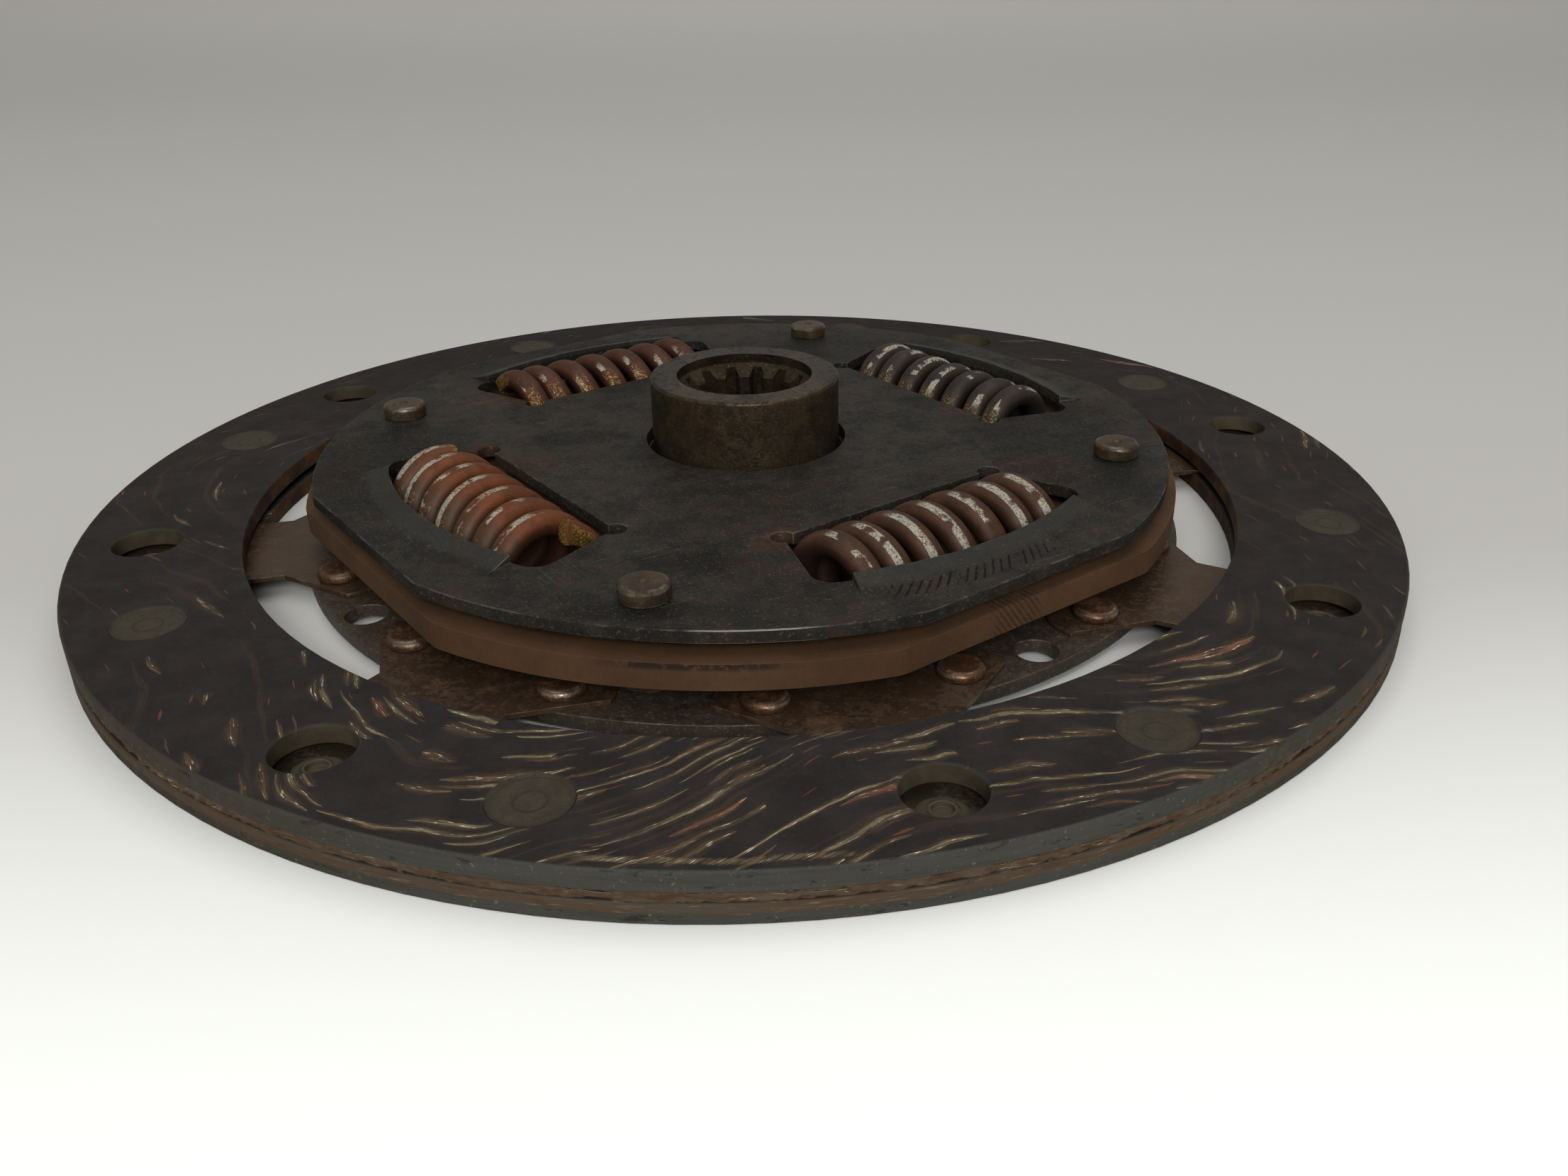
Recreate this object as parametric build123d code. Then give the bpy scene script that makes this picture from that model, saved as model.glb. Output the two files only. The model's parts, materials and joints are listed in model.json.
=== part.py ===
from build123d import *

import math
import os

# Clutch disc with a sprung hub: two friction facings on wavy cushion segments, a disc plate and a
# retainer plate joined by stop pins, and between them a hub flange that drives through four coil springs.
#
# Millimetres.  Origin on the disc's axis in the plane of the flywheel side friction face.  +Z points along
# the hub towards the gearbox, so the disc lies on its flywheel side facing.  The facings' radius drives the
# other circles: each one is stepped in from the last by a named width, inset or gap.

# ---------------------------------------------------------------------------------------- facings
facing_radius = 100.0
facing_width = 23.4
facing_thickness = 2.7
facing_rivet_inset = 10.0         # from the facing's rim to both rows of rivets
access_hole_radius = 4.8          # clear hole over the tails of the other facing's rivets
counterbore_radius = 4.7
counterbore_depth = 1.5
facing_rivet_head_radius = 4.4
facing_rivet_head_thickness = 1.2
facing_rivet_shank_radius = 2.0
facing_rivet_tail_radius = 3.1
facing_rivet_tail_thickness = 0.8
facing_rivet_hollow_radius = 1.3  # semi-tubular rivets have an open tail

# ------------------------------------------------------------------------------- cushion segments
segment_count = 8
segment_thickness = 0.7
segment_wave = 0.5                # how far the wave lifts the gearbox side facing off the flat of the leaf
first_segment_angle = -77.5       # degrees, middle of a segment's foot
segment_inset = 0.4               # leaf's rim inside the facing's rim
leaf_trailing_angle = 12.0        # leaf's edge behind the foot's middle
leaf_leading_angle = 28.0         # leaf's edge ahead of the foot's middle
leaf_corner_radius = 4.0
leaf_bore_inset = 1.9             # leaf's inner edge outside the facing's bore
foot_side_distance = 3.9          # from a rivet to the foot's sloping side
neck_half_width = 10.2
neck_fillet = 2.0
foot_boss_radius = 6.6
wave_rise_length = 16.3           # along the leaf, from the raised rivet to the flat on either side
wave_flat_half_length = 4.3
raised_rivet_angle = 17.5         # rivet of the gearbox side facing, ahead of the foot's middle

# ------------------------------------------------------------------------------------- disc plate
plate_rim_gap = 8.3               # from the facings' bore to the disc plate's rim
disc_plate_thickness = 1.9
segment_rivet_inset = 4.0         # from the disc plate's rim to the rivets
segment_rivet_head_radius = 3.1
segment_rivet_head_thickness = 1.4
segment_rivet_shank_radius = 2.1
segment_rivet_tail_thickness = 0.7
rivet_head_chamfer = 0.5
balance_hole_radius = 2.9
bearing_clearance = 0.35          # disc plate's bore around the hub

# ----------------------------------------------------------------------------- hub and hub flange
hub_radius = 14.75
hub_bottom = 0.6
hub_height = 24.2
hub_edge_round = 0.5
spline_count = 14
spline_major_radius = 10.1
spline_minor_radius = 8.7
spline_root_half_width = 0.75     # half a groove's width at the major circle
spline_mouth_half_width = 1.15    # half a groove's width at the minor circle
counterbore_in_hub_radius = 10.6
counterbore_in_hub_depth = 1.5
hub_bottom_chamfer = 0.8
hub_tooth_count = 12              # teeth that carry the flange on the hub's collar
hub_collar_radius = 16.4
hub_tooth_height = 1.5
hub_tooth_half_width = 2.2

flange_thickness = 3.6
flange_lobe_inset = 1.0           # inside the disc plate's rim
flange_edge_reveal = 0.1          # flange's straight edges outside the retainer plate's
plate_corner_round = 5.0

# ---------------------------------------------------------------------------------- retainer plate
retainer_thickness = 1.8
retainer_lobe_inset = 2.4         # inside the disc plate's rim
retainer_edge_width = 4.2         # flat edge outside a lip
retainer_bore_clearance = 1.05    # gap round the hub
lip_width = 4.2
lip_rise = 1.1
lip_half_angle = 21.5

# -------------------------------------------------------------------------------------- stop pins
stop_pin_count = 4
stop_pin_inset = 10.3             # from the disc plate's rim to the pins
first_pin_angle = -102.8
stop_pin_radius = 3.8
stop_pin_shank_radius = 2.5
stop_pin_head_radius = 3.36
stop_pin_head_height = 2.2
stop_pin_foot_height = 0.7
stop_pin_head_chamfer = 0.4
stop_pin_dimple_radius = 0.9
stop_pin_dimple_depth = 0.5
slot_clearance = 0.7              # around a pin's body in the flange's slots
coast_travel = 8.1                # degrees from rest to the slot's near end
drive_travel = 21.6               # degrees from rest to the slot's far end

# ------------------------------------------------------------------------------------ coil springs
spring_inset = 10.7               # from a window's outer edge to a spring's axis
spring_outer_radius = 8.5
spring_half_angle = 23.76         # degrees, from a window's middle to a spring's end on its axis
spring_wire_height = 3.4          # across the wire, from the coil's inside to its outside
spring_wire_width = 4.0           # along the coil
spring_wire_chamfer = 1.0
spring_pitch = 6.46
spring_end_turns = 1.5            # turns over which the pitch opens out from each end
spring_end_pitch = 0.58           # pitch at the ends, as a share of the pitch in the middle
spring_tip_angles = (205, 270, 45, 110)  # where each spring's wire starts: they turn freely in their windows
spring_tip_overrun = 0.8          # ground off the wire's tips
spring_seat_gap = 0.1
window_lead = 2.6                 # windows and flats sit this far ahead of the middle between two pins
window_side_gap = 0.6             # flange window beside a spring
flange_window_round = 0.6
plate_window_inset = 13.3         # from the disc plate's rim to the plates' windows
plate_window_inner_gap = 1.25     # from a spring, where it passes the plate, to the straight inner edge
plate_window_end_flare = 0.37     # sideways travel of the windows' end edges for each unit outwards
plate_window_corner = 3.0
plate_notch_radius = 1.7

# ------------------------------------------------------------------------------ friction washers
thrust_washer_thickness = 1.6
lower_ring_thickness = 2.5
upper_ring_thickness = 0.9
spring_washer_thickness = 0.6
spring_washer_height = 1.0
washer_bore_clearance = 0.7
washer_width = 9.0                # from a washer's bore to its rim

# ------------------------------------------------------------- levels and sizes that follow from these
segment_low = facing_thickness
gearbox_facing_low = segment_low + segment_thickness + segment_wave
facing_top = gearbox_facing_low + facing_thickness
disc_plate_low = segment_low - disc_plate_thickness
flange_low = segment_low + lower_ring_thickness + thrust_washer_thickness
flange_top = flange_low + flange_thickness
spring_washer_low = flange_top + upper_ring_thickness
retainer_low = spring_washer_low + spring_washer_height
retainer_top = retainer_low + retainer_thickness
spring_axis_height = (flange_low + flange_top) / 2

facing_bore_radius = facing_radius - facing_width
facing_rivet_circle = facing_radius - facing_rivet_inset
leaf_inner_radius = facing_bore_radius + leaf_bore_inset
disc_plate_radius = facing_bore_radius - plate_rim_gap
segment_rivet_circle = disc_plate_radius - segment_rivet_inset
stop_pin_circle = disc_plate_radius - stop_pin_inset
flange_lobe_radius = disc_plate_radius - flange_lobe_inset
retainer_lobe_radius = disc_plate_radius - retainer_lobe_inset
plate_window_outer_radius = disc_plate_radius - plate_window_inset
lip_base_radius = plate_window_outer_radius + lip_width
retainer_flat_distance = lip_base_radius + retainer_edge_width
flange_flat_distance = retainer_flat_distance + flange_edge_reveal
spring_axis_distance = plate_window_outer_radius - spring_inset
spring_length = 2 * spring_axis_distance * math.tan(math.radians(spring_half_angle))
spring_reach_at_plate = math.sqrt(spring_outer_radius**2 - (retainer_low - spring_axis_height) ** 2)
plate_window_inner = spring_axis_distance - spring_reach_at_plate - plate_window_inner_gap
retainer_bore = hub_radius + retainer_bore_clearance
washer_bore = hub_radius + washer_bore_clearance
washer_outer_radius = washer_bore + washer_width
slot_half_width = stop_pin_radius + slot_clearance
segment_pitch = 360 / segment_count
pin_pitch = 360 / stop_pin_count
first_window_angle = first_pin_angle + pin_pitch / 2 + window_lead
raised_rivet_along = facing_rivet_circle * math.sin(math.radians(raised_rivet_angle))


def polar(radius, degrees):
    """Point at a radius and an angle about the disc's axis."""
    return radius * math.cos(math.radians(degrees)), radius * math.sin(math.radians(degrees))


def at_angle(degrees, shape):
    """A shape drawn along +X, turned about the disc's axis."""
    return Rot(0, 0, degrees) * shape


def segment_angles(offset=0.0):
    return [first_segment_angle + offset + segment_pitch * i for i in range(segment_count)]


def pin_angles(offset=0.0):
    return [first_pin_angle + offset + pin_pitch * i for i in range(stop_pin_count)]


def window_angles():
    return [first_window_angle + pin_pitch * i for i in range(stop_pin_count)]


def cylinder(radius, low, high, x=0.0, y=0.0):
    return Pos(x, y, low) * extrude(Circle(radius), high - low)


def ring(inner, outer, low, high):
    return Pos(0, 0, low) * extrude(Circle(outer) - Circle(inner), high - low)


def holes(radius, circle, angles, low, high):
    """Round cutters on a circle about the axis."""
    return [cylinder(radius, low, high, *polar(circle, a)) for a in angles]


def turned(points, degrees=360.0):
    """Solid of revolution about the axis from (radius, height) points."""
    section = make_face(Polyline([(r, 0, z) for r, z in points], close=True))
    return revolve(section, Axis.Z, degrees)


# ---------------------------------------------------------------------------------------- facings
def facing(low, rivet_angles, access_angles, head_below):
    """Friction ring: stepped holes for its own rivets, clear holes over the other facing's rivets."""
    high = low + facing_thickness
    seat_low = low if head_below else high - counterbore_depth
    body = ring(facing_bore_radius, facing_radius, low, high)
    body -= holes(access_hole_radius, facing_rivet_circle, access_angles, low, high)
    body -= holes(facing_rivet_shank_radius, facing_rivet_circle, rivet_angles, low, high)
    seat_high = seat_low + counterbore_depth
    body -= holes(counterbore_radius, facing_rivet_circle, rivet_angles, seat_low, seat_high)
    return body


def facing_rivet(seat, up, grip):
    """Rivet along Z: head on the facing's seat, shank through the leaf, rolled open tail.

    seat is the height of the counterbore's floor; up is +1 if the tail is above the head, else -1.
    """
    tail_start = seat + up * grip
    tail_end = tail_start + up * facing_rivet_tail_thickness
    profile = [
        (0, seat - up * facing_rivet_head_thickness),
        (facing_rivet_head_radius, seat - up * facing_rivet_head_thickness),
        (facing_rivet_head_radius, seat),
        (facing_rivet_shank_radius, seat),
        (facing_rivet_shank_radius, tail_start),
        (facing_rivet_tail_radius, tail_start),
        (facing_rivet_hollow_radius, tail_end),
        (facing_rivet_hollow_radius, tail_start),
        (0, tail_start),
    ]
    return turned(profile)


def facing_rivets(seat, up, grip, angles):
    rivet = facing_rivet(seat, up, grip)
    return [Pos(*polar(facing_rivet_circle, a), 0) * rivet for a in angles]


# ------------------------------------------------------------------------------- cushion segments
def segment_plan():
    """Outline of a segment seen from above, its foot's middle on +X."""
    foot_x, foot_y = polar(segment_rivet_circle, segment_pitch / 4)
    side_sum = foot_x + foot_y + foot_side_distance * math.sqrt(2)
    neck_x = side_sum - neck_half_width
    back = foot_x - foot_boss_radius
    pad = Pos(foot_x, 0) * Rectangle(foot_boss_radius, 2 * foot_y, align=(Align.MAX, Align.CENTER))
    pad += [Pos(foot_x, s * foot_y) * Circle(foot_boss_radius) for s in (-1, 1)]
    half_wide = side_sum - back
    trim = make_face(Polyline((back, -half_wide), (back, half_wide), (side_sum, 0), close=True))
    neck_end = leaf_inner_radius + leaf_corner_radius
    neck = make_face(
        Polyline(
            (foot_x, foot_x - side_sum),
            (foot_x, side_sum - foot_x),
            (neck_x, neck_half_width),
            (neck_end, neck_half_width),
            (neck_end, -neck_half_width),
            (neck_x, -neck_half_width),
            close=True,
        )
    )
    reach = 2 * facing_radius
    wedge = make_face(
        Polyline((0, 0), polar(reach, -leaf_trailing_angle), polar(reach, leaf_leading_angle), close=True)
    )
    leaf = (Circle(facing_radius - segment_inset) - Circle(leaf_inner_radius)) & wedge
    leaf = fillet(leaf.vertices(), leaf_corner_radius)
    plan = (pad & trim) + neck + leaf
    plan -= [Pos(foot_x, s * foot_y) * Circle(segment_rivet_shank_radius) for s in (-1, 1)]
    return plan


def is_neck_corner(point):
    """Inward corner where the neck meets the leaf."""
    return abs(abs(point.Y) - neck_half_width) < 0.01 and point.X > facing_bore_radius


def segment_wave_band():
    """Wavy strip, wider than any segment: flat at the foot, lifted at the raised rivet."""
    low, high = segment_low, segment_low + segment_wave
    rise_start = raised_rivet_along - wave_rise_length
    flat_start = raised_rivet_along - wave_flat_half_length
    flat_end = raised_rivet_along + wave_flat_half_length
    fall_end = raised_rivet_along + wave_rise_length
    along = (1, 0)
    start = (-facing_radius, low)
    under = [
        Line(start, (rise_start, low)),
        Spline((rise_start, low), (flat_start, high), tangents=(along, along)),
        Line((flat_start, high), (flat_end, high)),
        Spline((flat_end, high), (fall_end, low), tangents=(along, along)),
        Line((fall_end, low), (facing_radius, low)),
    ]
    over = [Pos(0, segment_thickness) * edge for edge in under]
    ends = [Line(under[0] @ 0, over[0] @ 0), Line(under[-1] @ 1, over[-1] @ 1)]
    section = make_face([*under, *over, *ends])
    across = Plane(origin=(0, 0, 0), x_dir=(0, 1, 0), z_dir=(1, 0, 0))
    return extrude(across * section, facing_radius)


def cushion_segment():
    """Spring steel leaf with a two-rivet foot; it stands on the disc plate and spaces the facings."""
    prism = Pos(0, 0, segment_low) * extrude(segment_plan(), segment_wave + segment_thickness)
    corners = [e for e in prism.edges().filter_by(Axis.Z) if is_neck_corner(e.center())]
    prism = fillet(corners, neck_fillet)
    outer_half = Pos(facing_bore_radius, 0, 0) * Box(
        facing_radius, 2 * facing_radius, facing_top * 4, align=(Align.MIN, Align.CENTER, Align.CENTER)
    )
    flat = Pos(0, 0, segment_low) * Box(
        2 * facing_radius, 2 * facing_radius, segment_thickness, align=(Align.CENTER, Align.CENTER, Align.MIN)
    )
    leaf = ((prism & flat) - outer_half) + (segment_wave_band() & prism & outer_half)
    leaf -= cylinder(facing_rivet_shank_radius, 0, facing_top, facing_rivet_circle, 0)
    raised_x, raised_y = polar(facing_rivet_circle, raised_rivet_angle)
    leaf -= cylinder(facing_rivet_shank_radius, 0, facing_top, raised_x, raised_y)
    return leaf


def segment_rivet():
    """Solid rivet through a segment's foot and the disc plate."""
    top = segment_low + segment_thickness
    head = cylinder(segment_rivet_head_radius, top, top + segment_rivet_head_thickness)
    head = chamfer(head.edges().sort_by(Axis.Z)[-1], rivet_head_chamfer)
    shank = cylinder(segment_rivet_shank_radius, disc_plate_low, top)
    tail = cylinder(segment_rivet_head_radius, disc_plate_low - segment_rivet_tail_thickness, disc_plate_low)
    return head + shank + tail


def segment_rivet_angles():
    quarter = segment_pitch / 4
    return segment_angles(-quarter) + segment_angles(quarter)


# ----------------------------------------------------------------------------- plates with windows
def lobed_outline(lobe_radius, flat_distance):
    """Round plate with four straight edges outside the springs and lobes at the stop pins."""
    square = at_angle(first_window_angle, Rectangle(2 * flat_distance, 2 * flat_distance))
    outline = Circle(lobe_radius) & square
    return fillet(outline.vertices(), plate_corner_round)


def plate_window():
    """Window of the disc plate and retainer plate on +X: straight inner edge, flared ends, round outside."""
    half = spring_length / 2 + spring_seat_gap - plate_window_end_flare * plate_window_inner_gap
    reach = plate_window_outer_radius
    flare = half + plate_window_end_flare * (reach - plate_window_inner)
    fan = make_face(
        Polyline(
            (plate_window_inner, -half),
            (reach, -flare),
            (reach, flare),
            (plate_window_inner, half),
            close=True,
        )
    )
    window = fan & Circle(plate_window_outer_radius)
    outer_corners = window.vertices().sort_by(Axis.X)[-2:]
    window = fillet(outer_corners, plate_window_corner)
    window += [Pos(plate_window_inner, s * half) * Circle(plate_notch_radius) for s in (-1, 1)]
    return window


def disc_plate():
    """Carrier plate on the flywheel side: it carries the segments and one end of the stop pins."""
    top = segment_low
    body = ring(hub_radius + bearing_clearance, disc_plate_radius, disc_plate_low, top)
    for angle in window_angles():
        body -= Pos(0, 0, disc_plate_low) * extrude(at_angle(angle, plate_window()), disc_plate_thickness)
    body -= holes(segment_rivet_shank_radius, segment_rivet_circle, segment_rivet_angles(), disc_plate_low, top)
    body -= holes(stop_pin_shank_radius, stop_pin_circle, pin_angles(), disc_plate_low, top)
    between_feet = segment_angles(segment_pitch / 2)[::2]
    body -= holes(balance_hole_radius, segment_rivet_circle, between_feet, disc_plate_low, top)
    return body


def retainer_plate():
    """Cover plate on the gearbox side, pressed up into a lip along the outside of each spring window."""
    outline = lobed_outline(retainer_lobe_radius, retainer_flat_distance) - Circle(retainer_bore)
    body = Pos(0, 0, retainer_low) * extrude(outline, retainer_thickness)
    body -= holes(stop_pin_shank_radius, stop_pin_circle, pin_angles(), retainer_low, retainer_top)
    lip_section = [
        (plate_window_outer_radius, retainer_low + lip_rise),
        (plate_window_outer_radius, retainer_top + lip_rise),
        (lip_base_radius, retainer_top),
        (lip_base_radius, retainer_low),
    ]
    sector_section = [
        (plate_window_inner, retainer_low),
        (plate_window_inner, retainer_top + lip_rise),
        (lip_base_radius, retainer_top + lip_rise),
        (lip_base_radius, retainer_low),
    ]
    for angle in window_angles():
        room = at_angle(angle - lip_half_angle, turned(sector_section, 2 * lip_half_angle))
        lip = at_angle(angle - lip_half_angle, turned(lip_section, 2 * lip_half_angle))
        window = Pos(0, 0, retainer_low) * extrude(at_angle(angle, plate_window()), retainer_thickness)
        room -= cylinder(plate_window_outer_radius, retainer_low, retainer_top + lip_rise)
        body = body - window - room + lip
    return body


# ----------------------------------------------------------------------------- hub and hub flange
def hub_teeth_outline():
    """Outline shared by the hub's collar and the flange's bore: a circle with square teeth."""
    reach = hub_collar_radius + hub_tooth_height
    outline = Circle(hub_collar_radius)
    for location in PolarLocations(0, hub_tooth_count):
        outline += location * Pos(reach / 2, 0) * Rectangle(reach, 2 * hub_tooth_half_width)
    return outline & Circle(reach)


def spline_bore():
    """Cutter for the splined bore: a round bore with tapered grooves, counterbored and chamfered."""
    groove = make_face(
        Polyline(
            (0, -spline_mouth_half_width),
            (spline_minor_radius, -spline_mouth_half_width),
            (spline_major_radius, -spline_root_half_width),
            (spline_major_radius, spline_root_half_width),
            (spline_minor_radius, spline_mouth_half_width),
            (0, spline_mouth_half_width),
            close=True,
        )
    )
    outline = Circle(spline_minor_radius)
    for location in PolarLocations(0, spline_count):
        outline += location * groove
    cutter = Pos(0, 0, hub_bottom) * extrude(outline, hub_height - hub_bottom)
    floor = hub_height - counterbore_in_hub_depth
    depth = counterbore_in_hub_radius - spline_minor_radius
    cutter += turned(
        [
            (0, floor - depth),
            (spline_minor_radius, floor - depth),
            (counterbore_in_hub_radius, floor),
            (counterbore_in_hub_radius, hub_height),
            (0, hub_height),
        ]
    )
    return cutter


def hub():
    """Turned hub with a toothed collar for the flange and a splined bore for the gearbox shaft."""
    body = cylinder(hub_radius, hub_bottom, hub_height)
    body += Pos(0, 0, flange_low) * extrude(hub_teeth_outline(), flange_thickness)
    body -= spline_bore()
    ends = body.edges().filter_by(GeomType.CIRCLE).group_by(Axis.Z)
    body = fillet(ends[-1].sort_by(SortBy.RADIUS)[-1], hub_edge_round)
    ends = body.edges().filter_by(GeomType.CIRCLE).group_by(Axis.Z)
    return chamfer(ends[0].sort_by(SortBy.RADIUS)[-1], hub_bottom_chamfer)


def stop_slot():
    """Slot of the hub flange for a stop pin drawn about +X at rest: longer on the drive side."""
    lead, trail = drive_travel, -coast_travel
    inner, outer = stop_pin_circle - slot_half_width, stop_pin_circle + slot_half_width
    reach = 2 * outer
    middle = (lead + trail) / 2
    fan = [polar(reach, angle) for angle in (trail, middle, lead)]
    wedge = make_face(Polyline((0, 0), *fan, close=True))
    slot = (Circle(outer) - Circle(inner)) & wedge
    return slot + [Pos(*polar(stop_pin_circle, a)) * Circle(slot_half_width) for a in (trail, lead)]


def hub_flange():
    """Drive flange on the hub, between the two plates: spring windows, stop slots and a toothed bore."""
    outline = lobed_outline(flange_lobe_radius, flange_flat_distance) - hub_teeth_outline()
    for angle in pin_angles():
        outline -= at_angle(angle, stop_slot())
    window = RectangleRounded(
        2 * (spring_outer_radius + window_side_gap), spring_length + 2 * spring_seat_gap, flange_window_round
    )
    for angle in window_angles():
        outline -= at_angle(angle, Pos(spring_axis_distance, 0) * window)
    return Pos(0, 0, flange_low) * extrude(outline, flange_thickness)


# -------------------------------------------------------------------------------------- stop pins
def stop_pin():
    """Shouldered pin that spaces and rivets the two plates; its upper head has a centre dimple."""
    foot_low = disc_plate_low - stop_pin_foot_height
    head_top = retainer_top + stop_pin_head_height
    pin = cylinder(stop_pin_head_radius, foot_low, disc_plate_low)
    pin += cylinder(stop_pin_shank_radius, disc_plate_low, retainer_top)
    pin += cylinder(stop_pin_radius, segment_low, retainer_low)
    head = cylinder(stop_pin_head_radius, retainer_top, head_top)
    head = chamfer(head.edges().sort_by(Axis.Z)[-1], stop_pin_head_chamfer)
    head -= turned([(0, head_top - stop_pin_dimple_depth), (stop_pin_dimple_radius, head_top), (0, head_top)])
    return pin + head


# ------------------------------------------------------------------------------------ coil springs
def spring_path_points():
    """Centre line of the wire along +Y about the axis, right handed and closer wound at both ends."""
    steps_per_turn = 8
    travel = spring_length + spring_tip_overrun
    turns = travel / spring_pitch + 4 / 3 * spring_end_turns * (1 - spring_end_pitch)
    steps = round(turns * steps_per_turn)

    def opening(step):
        from_end = min(step, steps - step) / steps_per_turn / spring_end_turns
        return spring_end_pitch + (1 - spring_end_pitch) * min(1.0, from_end) ** 2

    rises = [opening(i + 0.5) for i in range(steps)]
    coil_radius = spring_outer_radius - spring_wire_height / 2
    points = []
    for i in range(steps + 1):
        x, z = polar(coil_radius, -i * 360 / steps_per_turn)
        y = travel * (sum(rises[:i]) / sum(rises) - 0.5)
        points.append((x, y, z))
    return points


def damper_spring():
    """Coil spring of flattened wire with ground ends, its axis along Y."""
    path = Spline(spring_path_points())
    start = Plane(origin=path @ 0, x_dir=(1, 0, 0), z_dir=path % 0)
    outline = Rectangle(spring_wire_height, spring_wire_width)
    section = start * chamfer(outline.vertices(), spring_wire_chamfer)
    coil = sweep(section, path=path, is_frenet=True)
    return coil & Box(4 * spring_outer_radius, spring_length, 4 * spring_outer_radius)


# ---------------------------------------------------------------------------------------- assembly
def build():
    """All pieces by node name."""
    level_rivets = segment_angles()
    raised_rivets = segment_angles(raised_rivet_angle)
    grip_low = facing_thickness - counterbore_depth + segment_thickness
    parts = {
        "flywheel_facing": facing(0, level_rivets, raised_rivets, True),
        "gearbox_facing": facing(gearbox_facing_low, raised_rivets, level_rivets, False),
        "flywheel_facing_rivets": Compound(
            children=facing_rivets(counterbore_depth, 1, grip_low, level_rivets)
        ),
        "gearbox_facing_rivets": Compound(
            children=facing_rivets(facing_top - counterbore_depth, -1, grip_low, raised_rivets)
        ),
        "disc_plate": disc_plate(),
        "retainer_plate": retainer_plate(),
        "hub": hub(),
        "hub_flange": hub_flange(),
    }
    leaf = cushion_segment()
    for i, angle in enumerate(segment_angles()):
        parts[f"cushion_segment_{i + 1}"] = at_angle(angle, leaf)
    rivet = segment_rivet()
    parts["segment_rivets"] = Compound(
        children=[Pos(*polar(segment_rivet_circle, a), 0) * rivet for a in segment_rivet_angles()]
    )
    pin = stop_pin()
    parts["stop_pins"] = Compound(children=[Pos(*polar(stop_pin_circle, a), 0) * pin for a in pin_angles()])
    spring = damper_spring()
    for i, (angle, tip_angle) in enumerate(zip(window_angles(), spring_tip_angles)):
        seated = Pos(spring_axis_distance, 0, spring_axis_height) * Rot(0, -tip_angle, 0) * spring
        parts[f"damper_spring_{i + 1}"] = at_angle(angle, seated)
    lower_ring_top = segment_low + lower_ring_thickness
    parts["flywheel_friction_ring"] = ring(washer_bore, washer_outer_radius, segment_low, lower_ring_top)
    parts["thrust_washer"] = ring(washer_bore, washer_outer_radius, lower_ring_top, flange_low)
    parts["gearbox_friction_ring"] = ring(washer_bore, washer_outer_radius, flange_top, spring_washer_low)
    rise = spring_washer_height - spring_washer_thickness
    parts["spring_washer"] = turned(
        [
            (washer_bore, spring_washer_low),
            (washer_outer_radius, spring_washer_low + rise),
            (washer_outer_radius, retainer_low),
            (washer_bore, spring_washer_low + spring_washer_thickness),
        ]
    )
    return parts


os.makedirs("parts", exist_ok=True)
for name, shape in build().items():
    shape.label = name
    export_step(shape, f"parts/{name}.step")
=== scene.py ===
"""Looks of the clutch disc on its fixed frame: worn edges, springs, friction material and the studio."""
import json
import math

import bmesh
import bpy
from mathutils import Matrix, Vector, noise

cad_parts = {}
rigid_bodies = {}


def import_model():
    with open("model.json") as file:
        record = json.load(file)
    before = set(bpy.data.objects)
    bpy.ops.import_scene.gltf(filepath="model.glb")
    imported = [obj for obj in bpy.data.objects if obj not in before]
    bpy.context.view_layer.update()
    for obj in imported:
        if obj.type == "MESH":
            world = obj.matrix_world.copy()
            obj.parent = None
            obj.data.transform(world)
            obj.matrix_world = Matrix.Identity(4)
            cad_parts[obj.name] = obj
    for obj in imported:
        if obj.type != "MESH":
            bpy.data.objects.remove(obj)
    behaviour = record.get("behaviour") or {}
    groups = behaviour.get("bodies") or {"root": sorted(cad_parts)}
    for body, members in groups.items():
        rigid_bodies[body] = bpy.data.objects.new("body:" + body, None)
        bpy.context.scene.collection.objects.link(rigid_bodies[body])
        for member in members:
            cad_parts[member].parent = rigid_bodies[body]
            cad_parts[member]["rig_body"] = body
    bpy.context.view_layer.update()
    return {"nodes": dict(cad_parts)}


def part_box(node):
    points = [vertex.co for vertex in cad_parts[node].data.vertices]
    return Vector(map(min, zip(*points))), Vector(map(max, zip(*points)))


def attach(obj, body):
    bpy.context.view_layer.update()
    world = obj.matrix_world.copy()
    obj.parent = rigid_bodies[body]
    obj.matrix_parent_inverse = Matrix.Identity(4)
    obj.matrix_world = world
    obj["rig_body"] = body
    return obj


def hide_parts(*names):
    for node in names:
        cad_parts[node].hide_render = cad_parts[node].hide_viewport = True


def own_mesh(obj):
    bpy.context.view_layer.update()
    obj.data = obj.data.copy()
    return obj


bl_info = {
    "name": "Clutch Disc",
    "version": (1, 0, 0),
    "blender": (4, 5, 0),
    "location": "View3D > Sidebar > Clutch Disc",
    "description": "Dresses the clutch disc's frame with worn edges, wound springs and procedural materials",
    "category": "Object",
}

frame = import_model()

MM = 0.001
WINDOWS = 4
FIRST_WINDOW_ANGLE = math.radians(-55.2)
SEGMENTS = 8

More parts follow.
